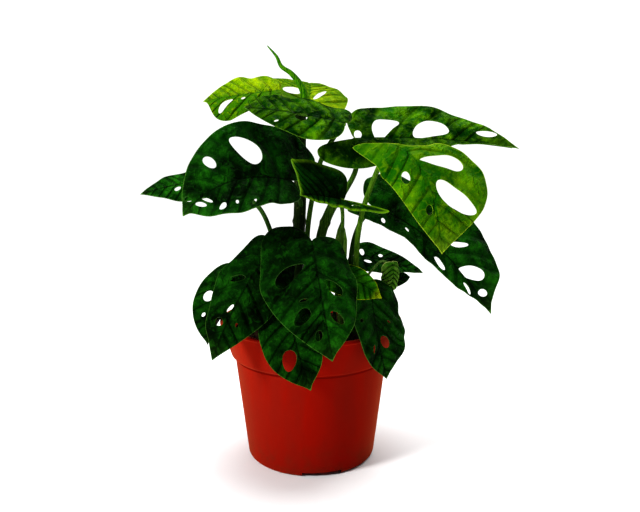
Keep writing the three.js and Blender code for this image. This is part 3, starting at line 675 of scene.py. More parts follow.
# The side veins, in shares of the midrib: from where to where they begin and how far apart, how
# unevenly, and how far they keep from the middle of a hole.
VEIN_STARTS = (-0.28, 1.3, 0.13)
VEIN_JITTER = 0.022
VEIN_CLEARANCE = 0.055
RIPPLES = (24, 17, 12, 9)  # the lengths of a blade's shallow waves
FULL_LENGTH = 80  # of the blade that has the relief as it is set, while a smaller one has less
GROOVE = (0.45, 1.1)  # along a midrib: how deep and how wide
WAVES = 2.3  # along one margin
# Over which distance the relief comes in: past the base, from the midrib and from any edge in
# millimetres, and for the waves in shares of the half's width.
COMES_IN = {"past_base": (0, 6), "rib_quilting": (0.5, 6), "rib_ripple": (0, 5), "edge": (0, 5),
            "wave": (0.25, 1.0)}
RIB_START = 0.62  # of a midrib, in its petiole's radii
RIB_END = 0.12  # of that
RIB_REACH = 0.96  # of the blade's length
RIB_DEPTH = (0.55, 0.8)  # how far it lies behind the blade: millimetres, and its own radii


def vein_lines(marks, rng):
    """Shares of the midrib where one half's side veins begin, which keep clear of the holes."""
    lines = np.arange(*VEIN_STARTS)
    lines += rng.uniform(-VEIN_JITTER, VEIN_JITTER, len(lines))
    for mark in marks:
        gap = lines - mark
        lines = lines + np.sign(gap) * np.clip(VEIN_CLEARANCE - np.abs(gap), 0, None)
    return np.sort(lines)


def vein_count(blade, across, along, holes, rng):
    """Which side vein each point is at: a whole number on a vein, and between two of them half."""
    share = blade.vein_share(across, along)
    vein = np.zeros(len(across))
    centres = [hole.mean(0) for hole in holes]
    for half in blade.halves:
        on_left = half["sign"] < 0
        own = (across < 0) == on_left
        marks = [blade.vein_share(*c[:, None])[0] for c in centres if (c[0] < 0) == on_left]
        lines = vein_lines(marks, rng)
        vein[own] = np.interp(share[own], lines, np.arange(len(lines)))
    return vein


def ripple(across, along, rng):
    """Shallow waves in all directions, which leave no two panels of a blade alike."""
    total = np.zeros(len(across))
    for length in RIPPLES:
        turn, phase = rng.uniform(0, 2 * np.pi, 2)
        place = across * math.cos(turn) + along * math.sin(turn)
        total += length / RIPPLES[0] * np.sin(2 * np.pi * place / length + phase)
    return total


def relief(blade, points, rim, vein, out, settings, rng):
    """How far each point is lifted by the quilting, the midrib's groove and the waves."""
    across, along = points[:, 0], points[:, 1]
    size = blade.length / FULL_LENGTH
    panel = np.sin(np.pi * vein) ** 2
    fade = (smooth_step(np.abs(across), *COMES_IN["rib_quilting"])
            * smooth_step(rim, *COMES_IN["edge"]))
    lift = settings.quilting / MM * size * (panel * fade - 0.5 * fade)
    depth, width = GROOVE
    groove = np.exp(-(across / width) ** 2) * smooth_step(along, *COMES_IN["past_base"])
    lift -= depth * groove
    phase = rng.uniform(0, 2 * np.pi, 2)
    wave = np.sin(2 * np.pi * WAVES * along / blade.length + np.where(across < 0, *phase))
    lift += settings.wave / MM * size * wave * smooth_step(out, *COMES_IN["wave"])
    rippled = settings.ripple / MM * size * ripple(across, along, rng)
    return lift + rippled * smooth_step(np.abs(across), *COMES_IN["rib_ripple"])


def build_blade(name, spec, settings):
    """One blade with its quilted relief, its thickness and the midrib on its back."""
    blade = Blade(spec)
    step = settings.spacing / MM
    loops = [evenly(blade.outline(), MARGIN_STEP * step)]
    loops += [evenly(blade.hole(*hole), HOLE_STEP * step) for hole in spec["holes"]]
    points, faces = flat_blade(loops, step)
    across, along = points[:, 0], points[:, 1]
    rim = distance_to(points, loops)
    margin = distance_to(points, loops[:1])

    rng = np.random.default_rng(sum(map(ord, name)))
    vein = vein_count(blade, across, along, loops[1:], rng)
    out = np.abs(across) / np.where(across < 0, *(half["width"] for half in blade.halves))
    lift = relief(blade, points, rim, vein, out, settings, rng)

    places = blade.at(across, along, lift)
    sample = np.array(faces[len(faces) // 2])
    a, b, c = places[sample]
    first = across[sample[:1]], along[sample[:1]]
    looks = blade.at(*first, 1.0)[0] - blade.at(*first, 0.0)[0]
    if np.dot(np.cross(b - a, c - a), looks) < 0:
        faces = [face[::-1] for face in faces]
    piece = mesh_piece("leaf_" + name, places, faces)
    reach = np.clip(along / blade.length, 0, 1)
    # each half's painted light and shade, which also scales its patches, from its base to its tip
    even = ((1, 1), (1, 1))
    painted_lights_and_tones = [base + (tip - base) * reach for base, tip in spec.get("painted_light_and_tone", even)]
    painted_light_and_tone = np.where(across < 0, *painted_lights_and_tones)
    for key, values in (("vein", vein), ("rim", rim), ("margin", margin), ("across", across),
                        ("out", out), ("painted_light_and_tone", painted_light_and_tone), ("reach", reach)):
        layer = piece.data.attributes.new(key, "FLOAT", "POINT")
        layer.data.foreach_set("value", values.astype(np.float32))
    age = spec["age"]
    for side in LEAF_SIDES:
        piece.data.materials.append(leaf_material(age, side))
    apply_modifier(piece, "SOLIDIFY", thickness=settings.thickness, offset=0, material_offset=1,
                   material_offset_rim=2)
    smooth(piece, degrees=60)

    stations = 40  # along the midrib on its back
    thin = np.linspace(1.0, RIB_END, stations) * spec["petiole"][0] * RIB_START
    along_rib = np.linspace(0, RIB_REACH * blade.length, stations)
    rib_path = blade.behind(along_rib, RIB_DEPTH[0] + RIB_DEPTH[1] * thin)
    rib = tube(name + "_rib", rib_path, thin, rounding=2)
    rib.data.materials.append(stalk_material(age))
    return joined("leaf_" + name, [piece, rib])


# ------------------------------------------------------------------ materials

def screen(red, green, blue):
    """An eight-bit screen colour in linear light."""
    def linear(value):
        value /= 255
        return value / 12.92 if value <= 0.04045 else ((value + 0.055) / 1.055) ** 2.4
    return (linear(red), linear(green), linear(blue), 1)


class Recipe:
    """A material and its nodes, with a method for each kind of node that is used here."""

    def __init__(self, name):
        self.material = bpy.data.materials.new(name)
        self.material.use_nodes = True
        self.nodes = self.material.node_tree.nodes
        self.links = self.material.node_tree.links
        self.shader = self.nodes["Principled BSDF"]
        self.objects = self.nodes.new("ShaderNodeTexCoord").outputs["Object"]

    def node(self, kind, inputs=(), **settings):
        made = self.nodes.new("ShaderNode" + kind)
        for key, value in settings.items():
            setattr(made, key, value)
        for key, value in dict(inputs).items():
            self.feed(made.inputs[key], value)
        return made

    def feed(self, socket, value):
        if isinstance(value, bpy.types.NodeSocket):
            self.links.new(value, socket)
        else:
            socket.default_value = value

    def attribute(self, name):
        return self.node("Attribute", attribute_type="GEOMETRY", attribute_name=name).outputs["Fac"]

    def math(self, operation, first, *others):
        """One operation over all the values, from left to right."""
        for other in others or (0.0,):
            first = self.node("Math", {0: first, 1: other}, operation=operation).outputs[0]
        return first

    def times(self, *values):
        return self.math("MULTIPLY", *values)

    def noise(self, scale, detail=2.0, roughness=0.5, stretch=(1, 1, 1), distortion=0.0):
        place = self.node("Mapping", {"Vector": self.objects, "Scale": stretch}).outputs[0]
        made = self.node("TexNoise", {"Vector": place, "Scale": scale, "Detail": detail,
                                      "Roughness": roughness, "Distortion": distortion})
        return made.outputs["Fac"]

    def ramp(self, value, low, high, first=0.0, last=1.0):
        """Goes smoothly from first to last while the value goes from low to high."""
        made = self.node("MapRange", {"Value": value, "From Min": low, "From Max": high,
                                      "To Min": first, "To Max": last},
                         interpolation_type="SMOOTHSTEP")
        return made.outputs["Result"]

    def mix(self, share, first, second):
        made = self.node("Mix", data_type="RGBA")
        self.feed(made.inputs["Factor"], share)
        self.feed(made.inputs[6], first)
        self.feed(made.inputs[7], second)
        return made.outputs[2]

    def coat(self, colour, over, pattern, *ramp):
        """The colour with another over it, where the ramp over a pattern lets that show."""
        return self.mix(self.ramp(pattern, *ramp), colour, over)

    def bump(self, height, distance, strength=1.0, under=None):
        inputs = {"Height": height, "Distance": distance, "Strength": strength}
        if under is not None:
            inputs["Normal"] = under
        return self.node("Bump", inputs).outputs["Normal"]

    def finish(self, **inputs):
        for key, value in inputs.items():
            name = key.replace("_", " ").title().replace("Ior", "IOR")
            self.feed(self.shader.inputs[name], value)
        return self.material


# Each age of leaf: its darkest green, its green between the veins, the patches that stand out
# between them and how much of the blade they take, the pale greens of its edge and of its under
# face, and how rough its face is. The rest are the width of the pale border in millimetres, how
# light the middle and the veins stay, and how yellow the tip is.
AGES = {
    "old": {"deep": screen(3, 14, 2), "light": screen(9, 50, 5), "patch": screen(32, 98, 14),
            "patches": 0.5, "edge": screen(70, 112, 40), "under": screen(22, 66, 12), "gloss": 0.3,
            "border": 0.35, "heart": 0.7, "veins": 0.5, "tip": 0.1},
    "turning": {"deep": screen(2, 34, 1), "light": screen(28, 96, 4), "patch": screen(100, 152, 6),
                "patches": 0.85, "edge": screen(104, 144, 34), "under": screen(46, 100, 18),
                "gloss": 0.3, "border": 0.4, "heart": 0.5, "veins": 0.6, "tip": 0.1},
    "rolled": {"deep": screen(2, 24, 1), "light": screen(8, 62, 3), "patch": screen(26, 88, 6),
               "patches": 0.4, "edge": screen(104, 150, 8), "under": screen(52, 98, 18),
               "gloss": 0.34, "border": 3.4, "heart": 0.7, "veins": 0.0, "tip": 0.4},
    "fresh": {"deep": screen(12, 62, 3), "light": screen(34, 100, 4), "patch": screen(66, 130, 6),
              "patches": 0.4, "edge": screen(160, 176, 16), "under": screen(60, 112, 20),
              "gloss": 0.34, "border": 0.3, "heart": 0.7, "veins": 0.8, "tip": 0.9},
    "young": {"deep": screen(20, 80, 3), "light": screen(78, 136, 4), "patch": screen(130, 168, 8),
              "patches": 0.42, "edge": screen(164, 190, 48), "under": screen(98, 148, 20),
              "gloss": 0.38, "border": 0.5, "heart": 0.1, "veins": 0.88, "tip": 0.2},
    "newest": {"deep": screen(50, 102, 2), "light": screen(118, 158, 2),
               "patch": screen(170, 192, 6), "patches": 0.6, "edge": screen(172, 194, 40),
               "under": screen(112, 156, 20), "gloss": 0.4, "border": 0.5, "heart": 0.6,
               "veins": 0.88, "tip": 0.1},
    "bud": {"deep": screen(40, 88, 14), "light": screen(80, 132, 30), "patch": screen(142, 176, 78),
            "patches": 0.5, "edge": screen(186, 200, 118), "under": screen(140, 168, 76),
            "gloss": 0.42, "border": 0.5, "heart": 0.7, "veins": 0.5, "tip": 0.1},
}
SHEEN = (0.3, 0.8, 0.18, 1)  # the tint of the light that a leaf's face throws back

# What a pattern on a leaf does: where in it the change begins and ends, and how strong the change
# is at both, where that isn't 0 and 1 or one of its age's numbers.
LEAF = {
    "net": (0.0, 0.12),
    "from_vein": (0.05, 0.6),
    # lighter in the middle of each panel: painted highlight on the quilted panels, and the leaf's
    # own darker veins
    "panel_highlight_and_veins": (0.0, 0.7, 0.65, 1.0),
    "cloud_light": (0.28, 0.66),
    "heart": (0.0, 0.8),
    "blots": (0.36, 0.66),
    "blot_clouds": (0.35, 0.6),
    # painted highlight on the folds' ridges and painted shade in their hollows
    "fold_painted_highlight": (0.5, 0.72, 0.0, 0.26),
    "fold_painted_shade": (0.48, 0.28, 0.0, 0.3),
    "grain_dark": (0.3, 0.8, 0.0, 0.25),
    "beside_rib": (0.2, 0.9),
    # painted shade in the midrib's groove
    "rib_painted_shade": (0.0, 1.0, 0.3, 1.0),
    "tip": (0.8, 1.0),
    "border": (0.1, 0.0, 0.85),
    "cut_line": (0.35, 0.1, 0.0, 0.18),
    "vein_groove": (0.0, 0.22),
    "fold_depth": (0.0, 0.5),
    "dullness": (0.3, 0.7),
    "pale_vein": (0.04, 0.16),
    "pale_net": (0.0, 1.0, 0.82, 1.0),
}
NET_RELIEF, GRAIN_RELIEF = 0.3, 0.15  # of a vein's depth
UNDER_NET_RELIEF = -0.2
GLOSS_SPREAD = (-0.05, 0.12)  # of the roughness over a leaf's face


def leaf_patterns(recipe):
    """A leaf's panels (0 on a side vein, 1 halfway to the next), its clouds and its fine net."""
    panel = recipe.times(recipe.math("PINGPONG", recipe.attribute("vein"), 0.5), 2.0)
    clouds = recipe.noise(scale=60, detail=3)
    cells = recipe.node("TexVoronoi", {"Vector": recipe.objects, "Scale": 480},
                        feature="DISTANCE_TO_EDGE").outputs["Distance"]
    return panel, clouds, recipe.ramp(cells, *LEAF["net"])


def upper_face(recipe, look):
    """Green, darker on the veins and lighter as painted highlight on the panels between, with
    painted shade in the midrib's groove, paler patches, painted highlights and shade on the folds,
    and each half's painted light and shade.
    """
    panel, clouds, net = leaf_patterns(recipe)
    rim, margin, across, out, painted_light_and_tone, reach = (
        recipe.attribute(key) for key in ("rim", "margin", "across", "out", "painted_light_and_tone", "reach"))
    blots = recipe.noise(scale=150, detail=4, roughness=0.6)
    folds = recipe.noise(scale=260, detail=1.5, distortion=0.9)
    grain = recipe.noise(scale=1400)
    # each half's light green, patches and border scaled by its painted light and shade
    share = recipe.times(recipe.ramp(panel, *LEAF["panel_highlight_and_veins"]),
                         recipe.ramp(clouds, *LEAF["cloud_light"]),
                         recipe.ramp(out, *LEAF["heart"], look["heart"], 1.0), painted_light_and_tone)
    spots = recipe.times(recipe.ramp(panel, *LEAF["from_vein"], look["veins"], 1.0),
                         recipe.ramp(blots, *LEAF["blots"]),
                         recipe.ramp(clouds, *LEAF["blot_clouds"]), painted_light_and_tone, look["patches"])
    colour = recipe.mix(share, look["deep"], look["light"])
    colour = recipe.mix(spots, colour, look["patch"])
    # painted highlights where the folds' bump rises and painted shade where it sinks
    colour = recipe.coat(colour, look["patch"], folds, *LEAF["fold_painted_highlight"])
    colour = recipe.coat(colour, look["deep"], folds, *LEAF["fold_painted_shade"])
    colour = recipe.coat(colour, look["deep"], grain, *LEAF["grain_dark"])
    # painted shade in the midrib's groove: deep green right beside the midrib
    beside_rib = recipe.ramp(recipe.math("ABSOLUTE", across), *LEAF["beside_rib"])
    colour = recipe.coat(look["deep"], colour, beside_rib, *LEAF["rib_painted_shade"])
    colour = recipe.coat(colour, look["edge"], reach, *LEAF["tip"], 0.0, look["tip"])
    border = recipe.times(recipe.ramp(margin, look["border"], *LEAF["border"]), painted_light_and_tone)
    line = recipe.math("MAXIMUM", border, recipe.ramp(rim, *LEAF["cut_line"]))
    colour = recipe.mix(line, colour, look["edge"])
    height = recipe.math("ADD", recipe.ramp(panel, *LEAF["vein_groove"]),
                         recipe.times(net, NET_RELIEF), recipe.times(grain, GRAIN_RELIEF))
    crumple = recipe.times(folds, recipe.ramp(panel, *LEAF["fold_depth"]))
    normal = recipe.bump(height, distance=0.16 * MM,
                         under=recipe.bump(crumple, distance=2.0 * MM))
    dull = recipe.ramp(recipe.noise(scale=220, detail=3), *LEAF["dullness"],
                       *(look["gloss"] + spread for spread in GLOSS_SPREAD))
    return recipe.finish(base_color=colour, roughness=dull, normal=normal,
                         specular_ior_level=0.012, specular_tint=SHEEN)


def under_face(recipe, look):
    """A paler green whose veins and net stand out."""
    panel, clouds, net = leaf_patterns(recipe)
    middle = recipe.ramp(panel, *LEAF["from_vein"], look["veins"], 1.0)
    pale = recipe.mix(recipe.times(middle, clouds), look["edge"], look["under"])
    pale = recipe.coat(look["edge"], pale, panel, *LEAF["pale_vein"])
    pale = recipe.coat(look["edge"], pale, net, *LEAF["pale_net"])
    height = recipe.math("SUBTRACT", recipe.times(net, UNDER_NET_RELIEF),
                         recipe.ramp(panel, *LEAF["vein_groove"]))
    normal = recipe.bump(height, distance=0.4 * MM)
    return recipe.finish(base_color=pale, roughness=0.6, normal=normal, specular_ior_level=0.14,
                         specular_tint=SHEEN)


def cut_edge(recipe, look):
    """The blade's thickness, as its margin and its holes show it."""
    colour = recipe.mix(recipe.noise(scale=900), look["light"], look["edge"])
    return recipe.finish(base_color=colour, roughness=0.6, specular_ior_level=0.2)


LEAF_SIDES = {"upper": upper_face, "under": under_face, "edge": cut_edge}


def leaf_material(age, side):
    """The upper face, the under face or the cut edge of a leaf of one age."""
    name = f"leaf_{age}_{side}"
    if name in bpy.data.materials:
        return bpy.data.materials[name]
    return LEAF_SIDES[side](Recipe(name), AGES[age])


# each age's dark and light streaks on its petioles and midribs
STALKS = {
    "old": (screen(18, 42, 10), screen(48, 80, 26)),
    "turning": (screen(28, 60, 10), screen(68, 102, 28)),
    "rolled": (screen(28, 60, 10), screen(68, 102, 28)),
    "fresh": (screen(36, 74, 12), screen(76, 110, 32)),
    "young": (screen(40, 80, 10), screen(84, 120, 28)),
    "newest": (screen(84, 124, 18), screen(132, 160, 44)),
    "bud": (screen(44, 76, 26), screen(96, 128, 60)),
    "stem": (screen(14, 22, 8), screen(38, 56, 20)),
}
CORK = screen(104, 110, 64)
# where the streaks, flecks and clouds begin and end, and how strong they are
SKIN = {"streaks": (0.3, 0.7), "flecks": (0.64, 0.72, 0, 0.7), "rolled_streaks": (0.35, 0.65),
        "rolled_clouds": (0.45, 0.75, 0, 0.6)}


def streaked_skin(recipe, colour, streaks, depth):
    """A skin whose streaks stand out by this depth."""
    return recipe.finish(base_color=colour, roughness=0.5, normal=recipe.bump(streaks, depth),
                         specular_ior_level=0.04, specular_tint=SHEEN)


def stalk_material(age):
    """A petiole's or a stem's skin, streaked along its length and flecked with cork."""
    name = "stalk_" + age
    if name in bpy.data.materials:
        return bpy.data.materials[name]
    dark, light = STALKS[age]
    recipe = Recipe(name)
    streaks = recipe.noise(scale=1.0, detail=3, roughness=0.6, stretch=(1400, 1400, 60))
    flecks = recipe.noise(scale=1.0, detail=2, roughness=0.6, stretch=(900, 900, 420))
    colour = recipe.coat(dark, light, streaks, *SKIN["streaks"])
    colour = recipe.coat(colour, CORK, flecks, *SKIN["flecks"])
    return streaked_skin(recipe, colour, streaks, depth=0.25 * MM)


def rolled_material(age, dark, light):
    """The skin of a rolled leaf or a sheath, streaked along it in two of its age's greens."""
    look = AGES[age]
    recipe = Recipe("rolled_" + age)
    streaks = recipe.noise(scale=1.0, detail=3, roughness=0.6, stretch=(1100, 1100, 90))
    clouds = recipe.noise(scale=120, detail=3)
    colour = recipe.coat(look[dark], look[light], streaks, *SKIN["rolled_streaks"])
    colour = recipe.coat(colour, look["deep"], clouds, *SKIN["rolled_clouds"])
    return streaked_skin(recipe, colour, streaks, depth=0.2 * MM)


FLOW_TINT, SCUFF_TINT = screen(138, 14, 3), screen(150, 40, 16)
# the crease's dark red is painted shade, laid in the crease under the band and over the lower
# shoulder
CREASE_SHADE_TINT, DUST_TINT = screen(70, 6, 2), screen(96, 40, 24)
CREASE_SHADE_STARTS = (66.8 * MM, 67.4 * MM)  # heights between which the painted shade in the crease under the band comes and goes again, from the top down
CREASE_SHADE_ENDS = (70 * MM, 68 * MM)  # and goes again, from the top down
DUST_REACH = 30 * MM  # up from the foot
CREASE_SHADE_STRENGTH, DUST_STRENGTH = 0.6, 0.35
# where each pattern on the plastic begins and ends, and how strong it is
PLASTIC = {"flow": (0.3, 0.7), "scuffs": (0.62, 0.8, 0, 0.2), "dust": (0.4, 0.7),
           "roughness": (0.3, 0.8, 0.36, 0.56), "sheen": (0.0, 0.5, 0.35, 0.0)}
PLASTIC_SHEEN = (1.0, 0.36, 0.16, 1)


def pot_material(colour):
    """Thin moulded plastic: faint flow marks, a fine grain, scuffs and a little dust, and painted
    shade in the crease under the band, where its sheen is taken away.
    """
    recipe = Recipe("pot_plastic")
    flow = recipe.noise(scale=1.0, detail=3, stretch=(70, 70, 16))
    grain = recipe.noise(scale=2600)
    scuffs = recipe.noise(scale=1.0, detail=5, roughness=0.7, stretch=(120, 120, 900))
    tint = recipe.coat((*colour, 1), FLOW_TINT, flow, *PLASTIC["flow"])
    tint = recipe.coat(tint, SCUFF_TINT, scuffs, *PLASTIC["scuffs"])
    height = recipe.node("SeparateXYZ", {0: recipe.objects}).outputs["Z"]
    # painted shade: a dark line in the crease under the band, found by height
    crease_shade = recipe.times(recipe.ramp(height, *CREASE_SHADE_STARTS), recipe.ramp(height, *CREASE_SHADE_ENDS))
    tint = recipe.mix(recipe.times(crease_shade, CREASE_SHADE_STRENGTH), tint, CREASE_SHADE_TINT)
    specks = recipe.ramp(recipe.noise(scale=160, detail=4), *PLASTIC["dust"])
    dust = recipe.times(recipe.ramp(height, DUST_REACH, 0.0), specks, DUST_STRENGTH)
    tint = recipe.mix(dust, tint, DUST_TINT)
    rough = recipe.ramp(scuffs, *PLASTIC["roughness"])
    normal = recipe.bump(grain, distance=0.05 * MM, strength=0.8,
                         under=recipe.bump(flow, distance=0.5 * MM, strength=0.5))
    return recipe.finish(base_color=tint, roughness=rough, normal=normal, specular_ior_level=0.0,
                         sheen_weight=recipe.ramp(crease_shade, *PLASTIC["sheen"]),
                         sheen_roughness=0.4, sheen_tint=PLASTIC_SHEEN)


PEAT_DARK, PEAT_LIGHT, GRIT_TINT = screen(12, 8, 5), screen(40, 26, 17), screen(76, 58, 40)
PEAT = {"lumps": (0.3, 0.7), "grit": (0.62, 0.74)}
GRIT_RELIEF = 0.5


def soil_material():
    """Damp peat mix with paler fibres and grains in it."""
    recipe = Recipe("potting_soil")
    lumps = recipe.noise(scale=260, detail=5, roughness=0.7)
    grit = recipe.noise(scale=1500, detail=3, roughness=0.7)
    colour = recipe.coat(PEAT_DARK, PEAT_LIGHT, lumps, *PEAT["lumps"])
    colour = recipe.coat(colour, GRIT_TINT, grit, *PEAT["grit"])
    height = recipe.math("ADD", lumps, recipe.times(grit, GRIT_RELIEF))
    normal = recipe.bump(height, distance=1.2 * MM)
    return recipe.finish(base_color=colour, roughness=0.93, normal=normal, specular_ior_level=0.03)


FLOOR_SHADE = 0.97


def floor_material(colour):
    """A matt pale floor with a barely visible fine tooth."""
    recipe = Recipe("studio_floor")
    shade = [FLOOR_SHADE * part for part in colour]
    tint = recipe.mix(recipe.noise(scale=900), (*colour, 1), (*shade, 1))
    return recipe.finish(base_color=tint, roughness=0.8)


# ------------------------------------------------------------------ operators

class MONSTERA_OT_pot(bpy.types.Operator):
    """Add the nursery pot: one closed wall from its foot ring over the lip to its floor"""
    bl_idname = "monstera.pot"
    bl_label = "Pot"

    BOSS = 18 * MM
    GROOVE = (2 * MM, 2.5 * MM)  # the ring between the boss and the foot: its slope and its rise
    FOOT_INNER = 35 * MM
    FOOT_ROUNDING = 2.5 * MM
    FOOT_TURNS = (0, 22, 45, 68, 90)  # degrees
    CREASE = (50.4 * MM, 67.4 * MM)  # where the body ends: radius and height
    SHOULDER = (53 * MM, 70 * MM)  # where the flared band begins
    LIP = 1.6 * MM
    LIP_STEP = 1 * MM
    LIP_EDGE = 0.5 * MM
    LIP_INSIDE = (0.7 * MM, 1.1 * MM, 0.6 * MM)  # in from the wall at its top and below, and down
    LAG = 0.4  # how much higher a bend lies inside the wall, in walls
    FLOOR = 4 * MM
    EDGES = {"width": 0.45 * MM, "segments": 3, "limit_method": "ANGLE",
             "angle_limit": math.radians(18)}
    DRAINS = {"count": 6, "radius": 3 * MM, "circle": 26.5 * MM}
    NOTCHES = {"angles": (-80, 40, 160), "depth": 20 * MM, "width": 25 * MM, "height": 2.8 * MM}

    def execute(self, context):
        pot = context.scene.monstera_pot
        stations = self.stations(pot)
        bpy.ops.object.select_all(action="DESELECT")
        bpy.ops.mesh.primitive_circle_add(vertices=pot.sides, radius=stations[0][0],
                                          location=(0, 0, stations[0][1]), fill_type="NGON")
        shell = context.object
        bpy.ops.object.mode_set(mode="EDIT")
        for (radius, z), (wider, higher) in zip(stations, stations[1:]):
            bpy.ops.mesh.extrude_edges_move()
            bpy.ops.transform.translate(value=(0, 0, higher - z))
            scale = wider / radius
            bpy.ops.transform.resize(value=(scale, scale, 1), center_override=(0, 0, higher))
        close_shell()
        bpy.ops.object.transform_apply(location=True)
        shell.name = shell.data.name = "nursery_pot"
        apply_modifier(shell, "BEVEL", **self.EDGES)
        cutter = joined("cutter", [self.drain(i) for i in range(self.DRAINS["count"])]
                        + [self.notch(angle, pot.foot_radius) for angle in self.NOTCHES["angles"]])
        apply_modifier(shell, "BOOLEAN", operation="DIFFERENCE", solver="EXACT", object=cutter)
        bpy.data.objects.remove(cutter)
        smooth(shell, degrees=32)
        shell.data.materials.append(pot_material(pot.colour))
        stand_for(shell, "pot")
        return {"FINISHED"}

    def stations(self, pot):
        """The wall's radii and heights, from the boss up its outside and down its inside."""
        wall, height, rim, foot = pot.wall, pot.height, pot.rim_radius, pot.foot_radius
        slope, rise = self.GROOVE
        top_in, below_in, down = self.LIP_INSIDE
        turns = [math.radians(degrees) for degrees in self.FOOT_TURNS]
        rounding = [(foot - self.FOOT_ROUNDING * (1 - math.sin(turn)),
                     self.FOOT_ROUNDING * (1 - math.cos(turn))) for turn in turns]
        bends = (self.SHOULDER, self.CREASE)
        inside = [(radius - wall, z + self.LAG * wall) for radius, z in bends]
        return [
            (self.BOSS, 0), (self.BOSS + slope, rise), (self.FOOT_INNER - slope, rise),
            (self.FOOT_INNER, 0), *rounding, self.CREASE, self.SHOULDER,
            (rim - self.LIP_STEP, height - self.LIP - self.LIP_STEP), (rim, height - self.LIP),
            (rim, height - self.LIP_EDGE), (rim - self.LIP_EDGE, height),
            (rim - wall - top_in, height), (rim - wall - below_in, height - down), *inside,
            (foot - wall, self.FLOOR),
        ]

    def drain(self, i):
        turn = 2 * math.pi * i / self.DRAINS["count"]
        reach = self.DRAINS["circle"]
        place = (reach * math.cos(turn), reach * math.sin(turn), 0)
        bpy.ops.mesh.primitive_cylinder_add(vertices=32, radius=self.DRAINS["radius"],
                                            depth=4 * self.FLOOR, location=place)
        return bpy.context.object

    def notch(self, angle, radius):
        turn = math.radians(angle)
        place = (radius * math.cos(turn), radius * math.sin(turn), 0)
        size = (self.NOTCHES["depth"], self.NOTCHES["width"], 2 * self.NOTCHES["height"])
        bpy.ops.mesh.primitive_cube_add(size=1, rotation=(0, 0, turn), location=place, scale=size)
        return bpy.context.object


